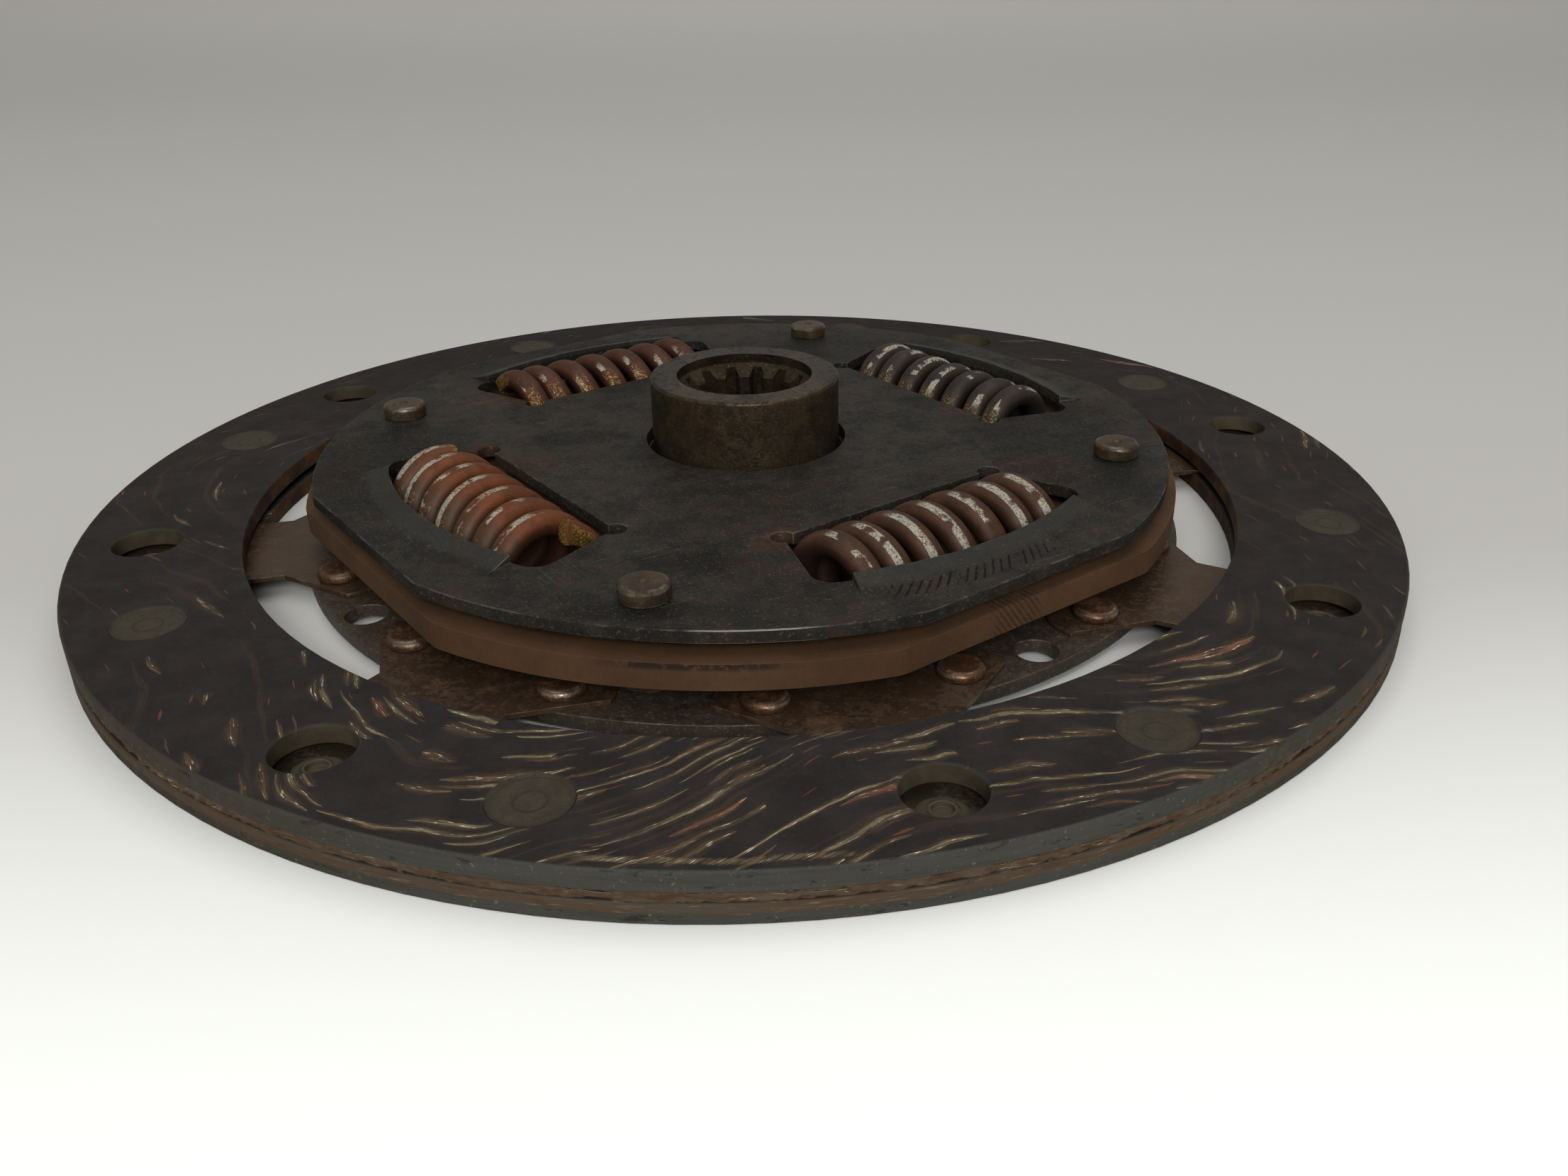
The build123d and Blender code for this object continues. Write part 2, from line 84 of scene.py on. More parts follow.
# Places on the disc, in millimetres and radians. A bearing is 0 at the front and grows to the right.
FACING_RADIUS = 100.0
FACING_BORE = 76.6
FACING_TOP = 6.6
RIVET_CIRCLE = 90.0
DRAWN_OUT_RADIUS = 80.0
FLUSH_RIVET_BEARING = math.radians(30.0)
DEEP_RIVET_BEARING = math.radians(12.5)
ACCESS_HOLE_EDGE = (5.6, 4.6)
RIVET_HEAD_EDGE = (4.45, 3.9)
RIVET_GROOVE = (1.8, 0.3, 0.08)
BUNDLE_RADIUS = 98.3
FLANGE_UPPER_EDGE = (9.2, 9.9)
# Painted shade: the facings darken towards the back of the disc, between these two values of y.
PAINTED_BACK_SHADE = (10.0, 90.0)

# Spans round the disc: the bearing of the middle, how far from it they end and up to where they are full.
# The one for the painted highlight on the leaves has its middle at the front.
LEAF_HIGHLIGHT_SPAN = (1.2, 0.4)
WORN_SPAN = (0.1, 1.1, 0.35)
FRONT_RIM_SPAN = (0.05, 0.85, 0.25)
BUNDLE_SPAN = (-0.045, 0.15, 0.12)
FLANGE_TICK_SPAN = (0.56, 0.09, 0.04)
FLANGE_CREASE_SPAN = (-0.1, 0.2, 0.1)

# Tool marks: how many to a radian, and the retainer plate's bearing, half span and radii.
TICKS_PER_RADIAN = 43.0
FLANGE_TICKS_PER_RADIAN = 68.8
RETAINER_TICKS = (0.5, 0.24, 58.4, 61.4)

# Patches: x and y on the disc, half width, half depth and strength.
RETAINER_STAINS = (
    (4, -41, 5, 5, 0.55),
    (-35, -12, 8, 8, 0.4),
    (-41, -4, 3, 3, 0.8),
    (44, -18, 9, 8, 0.45),
    (-42, 20, 8, 5, 0.4),
    (-61, -12, 4, 9, 0.35),
    (40, 10, 8, 5, 0.35),
)
# Painted shade on the hub: darker in its bore and towards its sides and back.
HUB_PAINTED_SHADE = (
    (0, 0, 11, 11, 0.6),
    (15, 3, 7, 12, 0.8),
    (-15, 3, 7, 12, 0.8),
    (0, 14, 14, 8, 0.8),
)
# The hub's top edge at the front: rubbed bright, and partly a painted highlight.
HUB_EDGE_WEAR_AND_HIGHLIGHT = ((0, -15, 14, 7, 0.9),)
# The retainer plate's edge is brighter at the front.
RETAINER_BRIGHT_EDGE = ((0, -65, 9, 4, 0.45),)
# Darker patches on the retainer plate, mostly out on its lobes.
RETAINER_DARK_PATCHES = (
    (-54, -12, 15, 26, 0.75),
    (-30, 42, 34, 18, 0.75),
    (18, 46, 28, 16, 0.7),
    (50, -12, 15, 24, 0.7),
    (-27, 0, 10, 4, 0.8),
    (-8, -47, 9, 4, 0.8),
    (-50, -38, 5, 6, 0.6),
    (-14, -60, 12, 3, 0.8),
    (30, 14, 6, 4, 0.5),
    (-20, 23, 6, 4, 0.5),
)


def shade(red, green, blue):
    """A linear colour from screen values of 0 to 255."""

    def linear(value):
        value /= 255
        return value / 12.92 if value <= 0.04045 else ((value + 0.055) / 1.055) ** 2.4

    return linear(red), linear(green), linear(blue)


# ---- settings
def length(name, description, millimetres):
    return bpy.props.FloatProperty(
        name=name, description=description, default=millimetres * MM, min=0.0, unit="LENGTH", subtype="DISTANCE"
    )


def colour(name, description, *screen):
    return bpy.props.FloatVectorProperty(
        name=name, description=description, default=shade(*screen), size=3, min=0.0, max=1.0, subtype="COLOR"
    )


class ClutchDiscSizes(bpy.types.PropertyGroup):
    """Sizes that the dressed pieces add to the frame."""

    plate_edge: length("Plate edge", "Width of the rounded edges of the pressed plates", 0.16)
    facing_edge: length("Facing edge", "Width of the worn edges of the friction facings", 0.3)
    rivet_edge: length("Rivet edge", "Width of the rounded edges of rivets and pins", 0.25)
    spring_distance: length("Spring distance", "From the disc's axis to a spring's axis", 44.3)
    spring_radius: length("Spring radius", "Outer radius of a damper spring", 8.5)
    spring_length: length("Spring length", "Length of a damper spring between its ground ends", 39.0)
    wire_height: length("Wire height", "Spring wire from the coil's inside to its outside", 3.4)
    wire_width: length("Wire width", "Spring wire along the coil", 4.0)
    strand_length: length("Strand length", "Longest yarn strands laid open in the friction facings", 26.0)
    strand_width: length("Strand width", "Widest yarn strands laid open in the friction facings", 1.9)
    dust_depth: length("Dust depth", "How far inside the facings' rims the packed dust begins", 0.3)


class ClutchDiscColours(bpy.types.PropertyGroup):
    """Colours of the finishes."""

    facing_dark: colour("Facing", "Resin of the friction facings", 36, 32, 31)
    facing_rim: colour("Facing rim", "Dusty rim of the friction facings", 56, 55, 50)
    brake_dust: colour("Olive dust", "Dust baked into rivet holes and onto rivet heads", 54, 48, 37)
    yarn_pale: colour("Pale yarn", "Yarn strands laid open by wear", 120, 111, 86)
    yarn_glint: colour("Yarn glint", "Brass and glass glints along the yarn", 224, 216, 196)
    yarn_brown: colour("Brown yarn", "Yarn strands soaked with resin", 82, 64, 46)
    yarn_red: colour("Red yarn", "Reddish flecks in the yarn", 122, 68, 52)
    plate_steel: colour("Plate steel", "Grey steel of the retainer plate", 38, 35, 31)
    dark_steel: colour("Dark steel", "Oiled steel of the disc plate", 62, 52, 42)
    leaf_steel: colour("Leaf steel", "Oiled spring steel of the cushion segments", 72, 55, 41)
    hub_steel: colour("Hub steel", "Pitted dark steel of the hub", 66, 55, 42)
    bronze: colour("Pin bronze", "Warm brown rivet and pin heads", 66, 54, 42)
    rust: colour("Rust", "Even rust film", 77, 53, 32)
    rust_bright: colour("Bright rust", "Orange rust on the springs and in holes", 90, 47, 20)
    rust_dark: colour("Dark rust", "Old rust in corners", 48, 31, 23)
    bare: colour("Bare steel", "Steel rubbed bright on edges", 150, 146, 136)
    brass: colour("Brassy grinding", "Coarse golden grinding on the springs' ends", 176, 138, 76)
    # The pale spring paint is partly painted highlights along the coils.
    spring_paint_and_highlight: colour("Spring paint", "Pale marking paint left on the springs", 152, 146, 130)
    # The floor darkens from the front to behind the disc and the wall is paler again: painted light falling off
    # away from the front.
    floor: colour("Floor", "Plain pale floor near the camera", 238, 240, 236)
    floor_middle: colour("Floor beside the disc", "Plain floor beside the disc", 178, 176, 172)
    backdrop: colour("Backdrop", "Plain floor behind the disc", 175, 174, 170)
    wall: colour("Wall", "Plain wall far behind the disc", 220, 218, 213)


# ---- shader writing
def arithmetic(operation):
    """The two methods of an operator: with the value on its left, and on its right."""
    return (
        lambda self, other: self.shader.maths(operation, self, other),
        lambda self, other: self.shader.maths(operation, other, self),
    )


class Value:
    """A socket's value. Arithmetic on it adds Math nodes to its shader, and | takes the larger of two."""

    __add__, __radd__ = arithmetic("ADD")
    __sub__, __rsub__ = arithmetic("SUBTRACT")
    __mul__, __rmul__ = arithmetic("MULTIPLY")
    __truediv__, __rtruediv__ = arithmetic("DIVIDE")
    __or__, __ror__ = arithmetic("MAXIMUM")

    def __init__(self, shader, socket):
        self.shader = shader
        self.socket = socket

    def __abs__(self):
        return self.shader.maths("ABSOLUTE", self)


class Coat(Value):
    """A colour over the surface, on which more colours can be laid."""

    def lay(self, share, colour, light=1.0):
        """Covers a share of what is there with a colour, made lighter or darker."""
        top = colour if isinstance(colour, Value) else tinted(colour, light)
        self.socket = self.shader.mix(share, self, top).socket


class Shader:
    """Node tree of one material, with the object's own point in millimetres and a shift for its noises."""

    def __init__(self, name, shift=0.0):
        self.shift = shift
        self.material = bpy.data.materials.new(name)
        self.material.use_nodes = True
        self.tree = self.material.node_tree
        self.tree.nodes.clear()
        self.point = self.vector("SCALE", self.value("Object", "ShaderNodeTexCoord"), Scale=1 / MM)
        self.x, self.y, self.z = self.split(self.point)

    def node(self, kind, settings=None, inputs=None):
        """Adds a node: its settings first, then the values or links of its sockets."""
        made = self.tree.nodes.new(kind)
        for key, value in (settings or {}).items():
            setattr(made, key, value)
        for key, value in (inputs or {}).items():
            socket = made.inputs[key]
            if isinstance(value, Value):
                self.tree.links.new(value.socket, socket)
            elif socket.type == "RGBA":
                socket.default_value = (*value[:3], 1.0)
            else:
                socket.default_value = value
        return made

    def value(self, output, kind, settings=None, inputs=None):
        """One output of a new node."""
        return Value(self, self.node(kind, settings, inputs).outputs[output])

    def maths(self, operation, *values, limit=False):
        settings = {"operation": operation, "use_clamp": limit}
        return self.value(0, "ShaderNodeMath", settings, dict(enumerate(values)))

    def vector(self, operation, *values, **named):
        output = "Value" if operation == "LENGTH" else "Vector"
        inputs = {**dict(enumerate(values)), **named}
        return self.value(output, "ShaderNodeVectorMath", {"operation": operation}, inputs)

    def mix(self, share, low, high):
        """Colour between low and high."""
        made = self.node("ShaderNodeMix", {"data_type": "RGBA"}, {0: share, 6: low, 7: high})
        return Coat(self, made.outputs[2])

    def blend(self, share, colour, low, high):
        """One colour at two strengths, mixed."""
        return self.mix(share, tinted(colour, low), tinted(colour, high))

    def combine(self, x, y, z):
        return self.value(0, "ShaderNodeCombineXYZ", inputs={0: x, 1: y, 2: z})

    def split(self, vector):
        parts = self.node("ShaderNodeSeparateXYZ", inputs={0: vector})
        return [Value(self, parts.outputs[i]) for i in range(3)]

    def step(self, value, low, high):
        """0 below low, 1 above high and smooth between; low may be above high."""
        inputs = {"Value": value, "From Min": low, "From Max": high}
        return self.value(0, "ShaderNodeMapRange", {"interpolation_type": "SMOOTHSTEP"}, inputs)

    def near(self, value, middle, end, full):
        """0 where the value is further than end from the middle, 1 where it is nearer than full."""
        return self.step(abs(value - middle), end, full)

    def noise_at(self, place, size, detail, roughness):
        inputs = {"Vector": place, "Scale": 1 / size, "Detail": detail, "Roughness": roughness}
        return self.value("Fac", "ShaderNodeTexNoise", inputs=inputs)

    def noise(self, size, detail=4.0, roughness=0.55, seed=0.0, at=None):
        """Noise whose blotches are about size across, in millimetres or in the units of at."""
        shift = self.shift + seed
        place = self.vector("ADD", self.point if at is None else at, (shift, shift * 0.7, shift * 1.3))
        return self.noise_at(place, size, detail, roughness)

    def pattern(self, first, second, seed=0.0, detail=3.0, roughness=0.6):
        """Noise over two numbers, such as a bearing and a height, whose blotches are about 1 across."""
        return self.noise_at(self.combine(first, second, self.shift + seed), 1.0, detail, roughness)

    def streaks(self, along, across, direction, seed=0.0):
        """Noise drawn out along a direction in the disc's plane, given in degrees."""
        inputs = {"Vector": self.point, "Angle": -math.radians(direction)}
        turned = self.value(0, "ShaderNodeVectorRotate", {"rotation_type": "Z_AXIS"}, inputs)
        return self.noise(1.0, 2.0, 0.5, seed, self.vector("DIVIDE", turned, (along, across, across)))

    def radius(self):
        return self.vector("LENGTH", self.combine(self.x, self.y, 0.0))

    def bearing(self):
        """Angle round the axis, 0 at the front and growing to the right."""
        return self.maths("ARCTAN2", self.x, self.y * -1.0)

    def upright(self):
        """1 on walls, 0 on faces that look up or down."""
        normal = self.value("Normal", "ShaderNodeNewGeometry")
        return self.step(abs(self.split(normal)[2]), 0.75, 0.35)

    def from_rivet(self, bearing):
        """Distance to the nearest facing rivet of the ring with a rivet at that bearing."""
        pitch = math.tau / SEGMENTS
        turned = self.maths("WRAP", self.bearing() - bearing, pitch / 2, -pitch / 2)
        radius = self.radius()
        along = radius * self.maths("SINE", turned)
        across = radius * self.maths("COSINE", turned) - RIVET_CIRCLE
        return self.vector("LENGTH", self.combine(along, across, 0.0))

    def patches(self, places, seed=0.0):
        """1 in patches with ragged edges, each (x, y, half width, half depth, strength), in millimetres."""
        found = None
        for x, y, across, deep, strength in places:
            off = self.combine((self.x - x) / across, (self.y - y) / deep, 0.0)
            ragged = self.noise(4.0, 4.0, 0.6, seed + x) - 0.5
            patch = self.step(self.vector("LENGTH", off) + ragged, 1.1, 0.55) * strength
            found = patch if found is None else found | patch
        return found

    def rings(self, along, across, seed=0.0):
        """Noise drawn out round the disc's axis."""
        return self.noise(1.0, 3.0, 0.55, seed, self.round_place(along, across))

    def round_place(self, along, across):
        """Point whose first two numbers go round the axis and whose third goes outwards, with no seam."""
        heading = self.vector("NORMALIZE", self.combine(self.x, self.y, 0.0))
        east, north, _ = self.split(self.vector("SCALE", heading, Scale=DRAWN_OUT_RADIUS / along))
        return self.combine(east, north, self.radius() / across + self.z / across)

    def attribute(self, name):
        return self.value("Fac", "ShaderNodeAttribute", {"attribute_name": name})

    def edge(self):
        """1 on the rounded edges that worn_copy makes, 0 elsewhere."""
        return self.attribute("rubbed_edge")

    def finish(self, base, roughness, gloss, metallic=0.0, relief=None, depth=0.0, strength=0.7):
        """Closes the shader with its surface, whose relief is up to depth high."""
        inputs = {"Base Color": base, "Roughness": roughness, "Metallic": metallic, "Specular IOR Level": gloss}
        if relief:
            bump = {"Height": relief, "Distance": depth, "Strength": strength}
            inputs["Normal"] = self.value("Normal", "ShaderNodeBump", inputs=bump)
        surface = self.node("ShaderNodeBsdfPrincipled", inputs=inputs)
        out = self.node("ShaderNodeOutputMaterial")
        self.tree.links.new(surface.outputs[0], out.inputs["Surface"])
        return self.material


# ---- materials
def tinted(colour, share):
    """The colour made lighter or darker."""
    return [c * share for c in colour]


def friction_material(name, colours, sizes, band, upper, shift):
    """Moulded resin with wound yarn laid open by wear; band is where its rim is stained, low to high."""
    s = Shader(name, shift)
    radius, bearing = s.radius(), s.bearing()
    wander = (s.noise(24, 2) - 0.5) * 9.0 + (s.noise(5, 2, seed=3) - 0.5) * 0.9
    yarn = radius + s.maths("SINE", bearing * 5.0 + 0.35 + shift) * 12.0 + bearing * 9.0 + wander
    hairs = s.pattern(bearing * (RIVET_CIRCLE / 5.0), yarn / 0.16)
    glints = s.pattern(bearing * (RIVET_CIRCLE / 1.3), yarn / 0.2, 9, 2.0, 0.5)
    ragged = s.pattern(bearing * (RIVET_CIRCLE / 1.8), yarn / 0.45, 4, 4.0, 0.75)
    gaps = s.pattern(bearing * (RIVET_CIRCLE / 6.0), yarn / 0.9, 6)
    worn = s.near(bearing, *WORN_SPAN)
    worn = worn if upper else worn | 0.5

    def strands(spacing, half_length, half_width, share, seed):
        """Thin strands, one to a cell: the point's share of one and of its halo, and two numbers of its own."""
        along, across = spacing
        place = s.combine(bearing * (RIVET_CIRCLE / along) + seed, yarn / across + seed, 0.0)
        inputs = {"Vector": place, "Scale": 1.0, "Randomness": 1.0}
        cells = s.node("ShaderNodeTexVoronoi", {"voronoi_dimensions": "2D"}, inputs)
        off = s.split(s.vector("SUBTRACT", place, Value(s, cells.outputs["Position"])))
        own = s.node("ShaderNodeSeparateColor", inputs={0: Value(s, cells.outputs["Color"])})
        pick, tone, redness = (Value(s, own.outputs[i]) for i in range(3))
        reach = half_length * (0.45 + 0.55 * tone)
        left = abs(off[0] * along / reach)
        taper = s.maths("SQRT", s.maths("SUBTRACT", 1.0, left, limit=True))
        width = half_width * (0.35 + 0.6 * redness) * taper * (0.2 + 1.4 * ragged)
        here = s.step(pick, 1 - share, 1.02 - share)
        away = abs(off[1] * across)
        return s.step(away, width, width * 0.3) * here, s.step(away, width * 2.2, width) * here, tone, redness

    longest, widest = sizes.strand_length / MM, sizes.strand_width / MM
    cell = (longest * 0.9, 3.6)
    long, halo, long_tone, long_red = strands(cell, longest * 0.42, widest * 0.5, worn * 0.8, shift + 2)
    cell = (longest * 0.45, 2.4)
    middle, small_halo, tone, red = strands(cell, longest * 0.2, widest * 0.45, 0.06 + worn * 0.6, shift + 11)
    short, _, short_tone, _ = strands((7.0, 2.4), 1.7, 0.32, 0.32, shift + 23)
    drowned, _, _, _ = strands((32.0, 4.4), 15.0, 1.3, 0.6, shift + 31)

    mottle = s.noise(6, 5, 0.65, 8)
    grain = s.noise(0.5, 3, 0.7)
    resin = s.blend(s.step(mottle, 0.3, 0.75), colours.facing_dark, 0.8, 1.35)
    resin.lay(s.step(grain, 0.55, 0.78) * 0.4, colours.yarn_brown, 0.7)
    resin.lay(drowned * s.step(hairs, 0.3, 0.7) * 0.4, colours.yarn_brown, 0.75)
    # Painted shade: the facing is darker towards the back of the disc.
    resin.lay(s.step(s.y, *PAINTED_BACK_SHADE) * 0.45, colours.facing_dark, 0.5)
    flecks = s.mix(s.step(short_tone, 0.45, 0.55), tinted(colours.yarn_red, 0.7), colours.yarn_brown)
    face = s.mix(short * 0.7, resin, flecks)
    soaked = (halo | small_halo) * s.step(hairs, 0.3, 0.7)
    face.lay(soaked * 0.55, colours.yarn_brown, 0.8)

    def yarn_tint(tone, red=None):
        tint = s.mix(s.step(hairs * 0.7 + tone * 0.4, 0.42, 0.8), colours.yarn_brown, colours.yarn_pale)
        if red is not None:
            tint.lay(s.step(red, 0.92, 0.96) * s.step(hairs, 0.35, 0.55) * 0.7, colours.yarn_red)
        return s.mix(s.step(glints, 0.6, 0.7), tint, colours.yarn_glint)

    threads = (0.3 + 0.7 * s.step(hairs, 0.38, 0.6)) * (0.25 + 0.75 * s.step(gaps, 0.4, 0.48))
    face.lay(middle * threads * 0.85, yarn_tint(tone, red))
    face.lay(long * threads, yarn_tint(long_tone, long_red))
    if upper:
        bundle = s.step(abs(radius - BUNDLE_RADIUS + (mottle - 0.5) * 1.2), 0.4 + ragged * 0.5, 0.15)
        face.lay(bundle * s.near(bearing, *BUNDLE_SPAN) * threads, yarn_tint(0.5))

    rim = s.step(radius, FACING_RADIUS - 0.5, FACING_RADIUS - 0.15)
    wall = s.upright()
    # The rim is paler and greyer towards the front, darker and browner at the sides.
    front = s.near(bearing, *FRONT_RIM_SPAN)
    streak = s.pattern(bearing * 5.0, s.z / 0.8)
    rim_tint = s.mix(front, tinted(colours.dark_steel, 0.65), colours.facing_rim)
    rim_tint.lay(s.step(streak, 0.35, 0.75) * 0.5, colours.facing_rim, 0.55)
    specks = s.step(s.noise(0.5, 3, 0.6, 2), 0.62, 0.72)
    rim_tint.lay(specks * 0.5, colours.yarn_pale, 0.8)
    cracks = s.step(s.pattern(bearing * 22.0, s.z / 1.4, 5, 4.0, 0.7), 0.6, 0.68)
    rim_tint.lay(cracks * 0.6, colours.rust_dark, 0.5)
    ragged = (s.pattern(bearing * 16.0, 0.0, 7, 4.0, 0.65) - 0.5) * 1.4
    stained = s.step(s.z + ragged, band[0], band[0] + 0.25) * s.step(s.z, band[1] + 0.25, band[1])
    fibres = s.step(s.pattern(bearing * 26.0, s.z / 0.22, 8), 0.58, 0.68)
    stain = s.mix(s.step(streak, 0.35, 0.65), tinted(colours.dark_steel, 1.1), tinted(colours.rust, 0.85))
    stain.lay(fibres * front * 0.6, colours.yarn_pale)
    rim_tint.lay(stained * 0.75, stain)

    inside = wall | s.step(s.z, FACING_TOP - 0.2, FACING_TOP - 0.5) if upper else wall
    dusty = s.blend(s.step(mottle, 0.35, 0.7), colours.brake_dust, 0.9, 1.5)
    rusty = s.mix(s.step(mottle, 0.4, 0.65), colours.rust_dark, colours.rust)
    dusty.lay(s.step(radius, FACING_BORE + 1.4, FACING_BORE + 0.4), rusty)
    face.lay(inside, dusty)
    base = s.mix(rim, face, rim_tint)
    base.lay(s.edge() * 0.2, colours.facing_rim)

    open_yarn = long | middle
    relief = open_yarn * (0.35 + hairs * 0.5) * (1 - inside) + mottle * 0.35 + grain * 0.25 + short * 0.2
    relief = relief + rim * (streak * 0.6 - cracks * 1.2)
    roughness = 0.6 + 0.25 * s.noise(3, 3) - 0.1 * open_yarn
    return s.finish(base, roughness, 0.1, relief=relief, depth=0.12 * MM, strength=0.8)


def worn_steel(
    name, steel, stain, bare, *, rust, shine=0.7, roughness=0.46, pits=0.2, scratches=0.0, turned=0.0, rub=0.3,
    speckle=0.0, shift=0.0, stains=(), darkened=(), bright_edges=(), lip=None, ticks=None, dust=None,
    contrast=1.0, gloss=0.4
):
    """Dull steel with rust blotches, grain and edges rubbed bright. Stains, darkened patches and bright edges
    are patches; on the hub the darkened patches are painted shade and the bright front edge is partly a painted
    highlight.
    """
    s = Shader(name, shift)
    broad = s.noise(19, 5, 0.6)
    close = s.noise(2.6, 5, 0.66, 4)
    grain = s.noise(0.4, 3, 0.7, 9)
    spots = s.step(broad * 0.66 + close * 0.34, 0.64 - 0.3 * rust, 0.8 - 0.3 * rust)
    low, high = 1 - 0.3 * contrast, 1 + 0.25 * contrast
    base = s.blend(s.step(close, 0.36, 0.64), steel, low, high)
    base.lay(s.step(broad, 0.46, 0.62) * 0.45 * contrast, steel, 0.55)
    base.lay(s.step(grain, 0.5, 0.66) * 0.35, steel, 1.7)
    middling = s.noise(7, 4, 0.65, 21)
    base.lay(s.step(middling, 0.5, 0.6) * 0.5 * contrast, steel, 0.45)
    base.lay(s.step(middling, 0.47, 0.37) * 0.4 * contrast, stain, 1.2)
    base.lay(spots * 0.75, stain)
    if stains:
        marked = s.patches(stains)
        base.lay(marked, s.blend(s.step(close, 0.35, 0.7), stain, 1.3, 2.2))
        spots = spots | marked
    # Darkened patches: painted shade on the hub, plain darker patches on the retainer plate.
    if darkened:
        base.lay(s.patches(darkened, 3) * s.step(close, 0.3, 0.5), steel, 0.3)
    if ticks:
        bearing, span, low, high = ticks
        slant = s.bearing() + s.radius() * 0.014
        teeth = s.step(s.maths("SINE", slant * (TICKS_PER_RADIAN * math.tau)), 0.45, 0.8)
        uneven = s.pattern(slant * 30.0, 0.0, -2.0, 2.0, 0.5) - 0.5
        place = s.near(s.bearing(), bearing, span, span * 0.8)
        reach = abs(s.radius() - (low + high) / 2 + uneven * 3.0)
        place = place * s.step(reach, (high - low) * 0.55, (high - low) * 0.4) * s.step(uneven, -0.14, -0.06)
        base.lay(place * teeth, steel, 0.05)
    marks = 0.0
    if scratches:
        lines = s.step(s.streaks(22, 0.2, 28), 0.62, 0.7)
        lines = lines | s.step(s.streaks(12, 0.16, -57, 2), 0.64, 0.72)
        marks = lines * s.step(s.noise(9, 2, seed=7), 0.46, 0.62)
    if turned:
        marks = marks | s.step(s.rings(60, 0.35, 1), 0.52, 0.7) * turned
    if scratches or turned:
        base.lay(marks * max(scratches, turned), bare)
    if speckle:
        flecks = s.step(s.noise(0.42, 2, 0.5, 31), 0.6, 0.7)
        base.lay(flecks * speckle, bare, 0.6)
    dents = s.step(s.noise(0.9, 4, 0.7, 13) * 0.6 + middling * 0.4, 0.51, 0.57)
    base.lay(dents * pits, steel, 0.25)
    if lip:
        ridge, tint, share = lip
        base.lay(s.step(s.z, ridge, ridge + 0.4) * share, tint)
    rubbed = s.edge() * s.step(s.noise(3.4, 3, 0.6, 17), 0.42, 0.66) * rub
    # Bright edges: on the hub, edge wear with a painted highlight at the front.
    if bright_edges:
        rubbed = rubbed | s.edge() * s.patches(bright_edges, 5)
    base.lay(rubbed, bare)
    # On the cushion segments this also lays a painted highlight on their edges.
    if dust:
        rubbed = dust(s, base, rubbed, close)
    metallic = s.maths("MAXIMUM", shine * (1 - spots * 0.8) - dents * 0.3, rubbed, limit=True)
    rough = roughness + 0.2 * spots + 0.16 * (grain - 0.5) + 0.1 * dents - 0.12 * rubbed
    relief = close * 0.5 + grain * 0.25 - dents * 0.5 - marks * 0.2
    return s.finish(base, rough, gloss, metallic, relief, 0.06 * MM)


def rust_film(name, colours):
    """Matt even rust with dark scuffs along the edges, on the hub flange."""
    s = Shader(name)
    broad = s.noise(12, 4, 0.6)
    close = s.noise(1.6, 4, 0.7)
    grain = s.noise(0.3, 2, 0.7)
    base = s.blend(s.step(broad, 0.3, 0.7), colours.rust, 0.9, 0.62)
    base.lay(s.step(close, 0.45, 0.75) * 0.35, colours.rust_dark)
    base.lay(s.step(grain, 0.5, 0.8) * 0.3, colours.rust, 1.5)
    scuffs = s.step(s.noise(1, 4, 0.65, 6, s.round_place(16, 0.7)), 0.66, 0.76)
    base.lay(scuffs * 0.6, colours.rust_dark, 0.5)
    slant = s.bearing() + s.z * 0.012
    ticks = s.step(s.maths("SINE", slant * (FLANGE_TICKS_PER_RADIAN * math.tau)), -0.2, 0.6)
    ticked = s.near(s.bearing(), *FLANGE_TICK_SPAN) * s.step(close, 0.36, 0.5)
    base.lay(ticks * ticked * 0.6, colours.rust_dark, 0.4)
    crease = s.step(s.z, *FLANGE_UPPER_EDGE) * s.near(s.bearing(), *FLANGE_CREASE_SPAN)
    crease = crease * s.step(close, 0.35, 0.5) * s.upright()
    base.lay(crease * 0.85, colours.rust_dark, 0.3)
    rubbed = s.edge() * s.step(s.noise(5, 3, 0.6, 2), 0.45, 0.7) * (1 - crease)
    base.lay(rubbed * 0.4, colours.bronze, 1.6)
    relief = close * 0.5 + grain * 0.4
    return s.finish(base, 0.74 + 0.14 * grain, 0.25, 0.3 * rubbed, relief, 0.05 * MM)


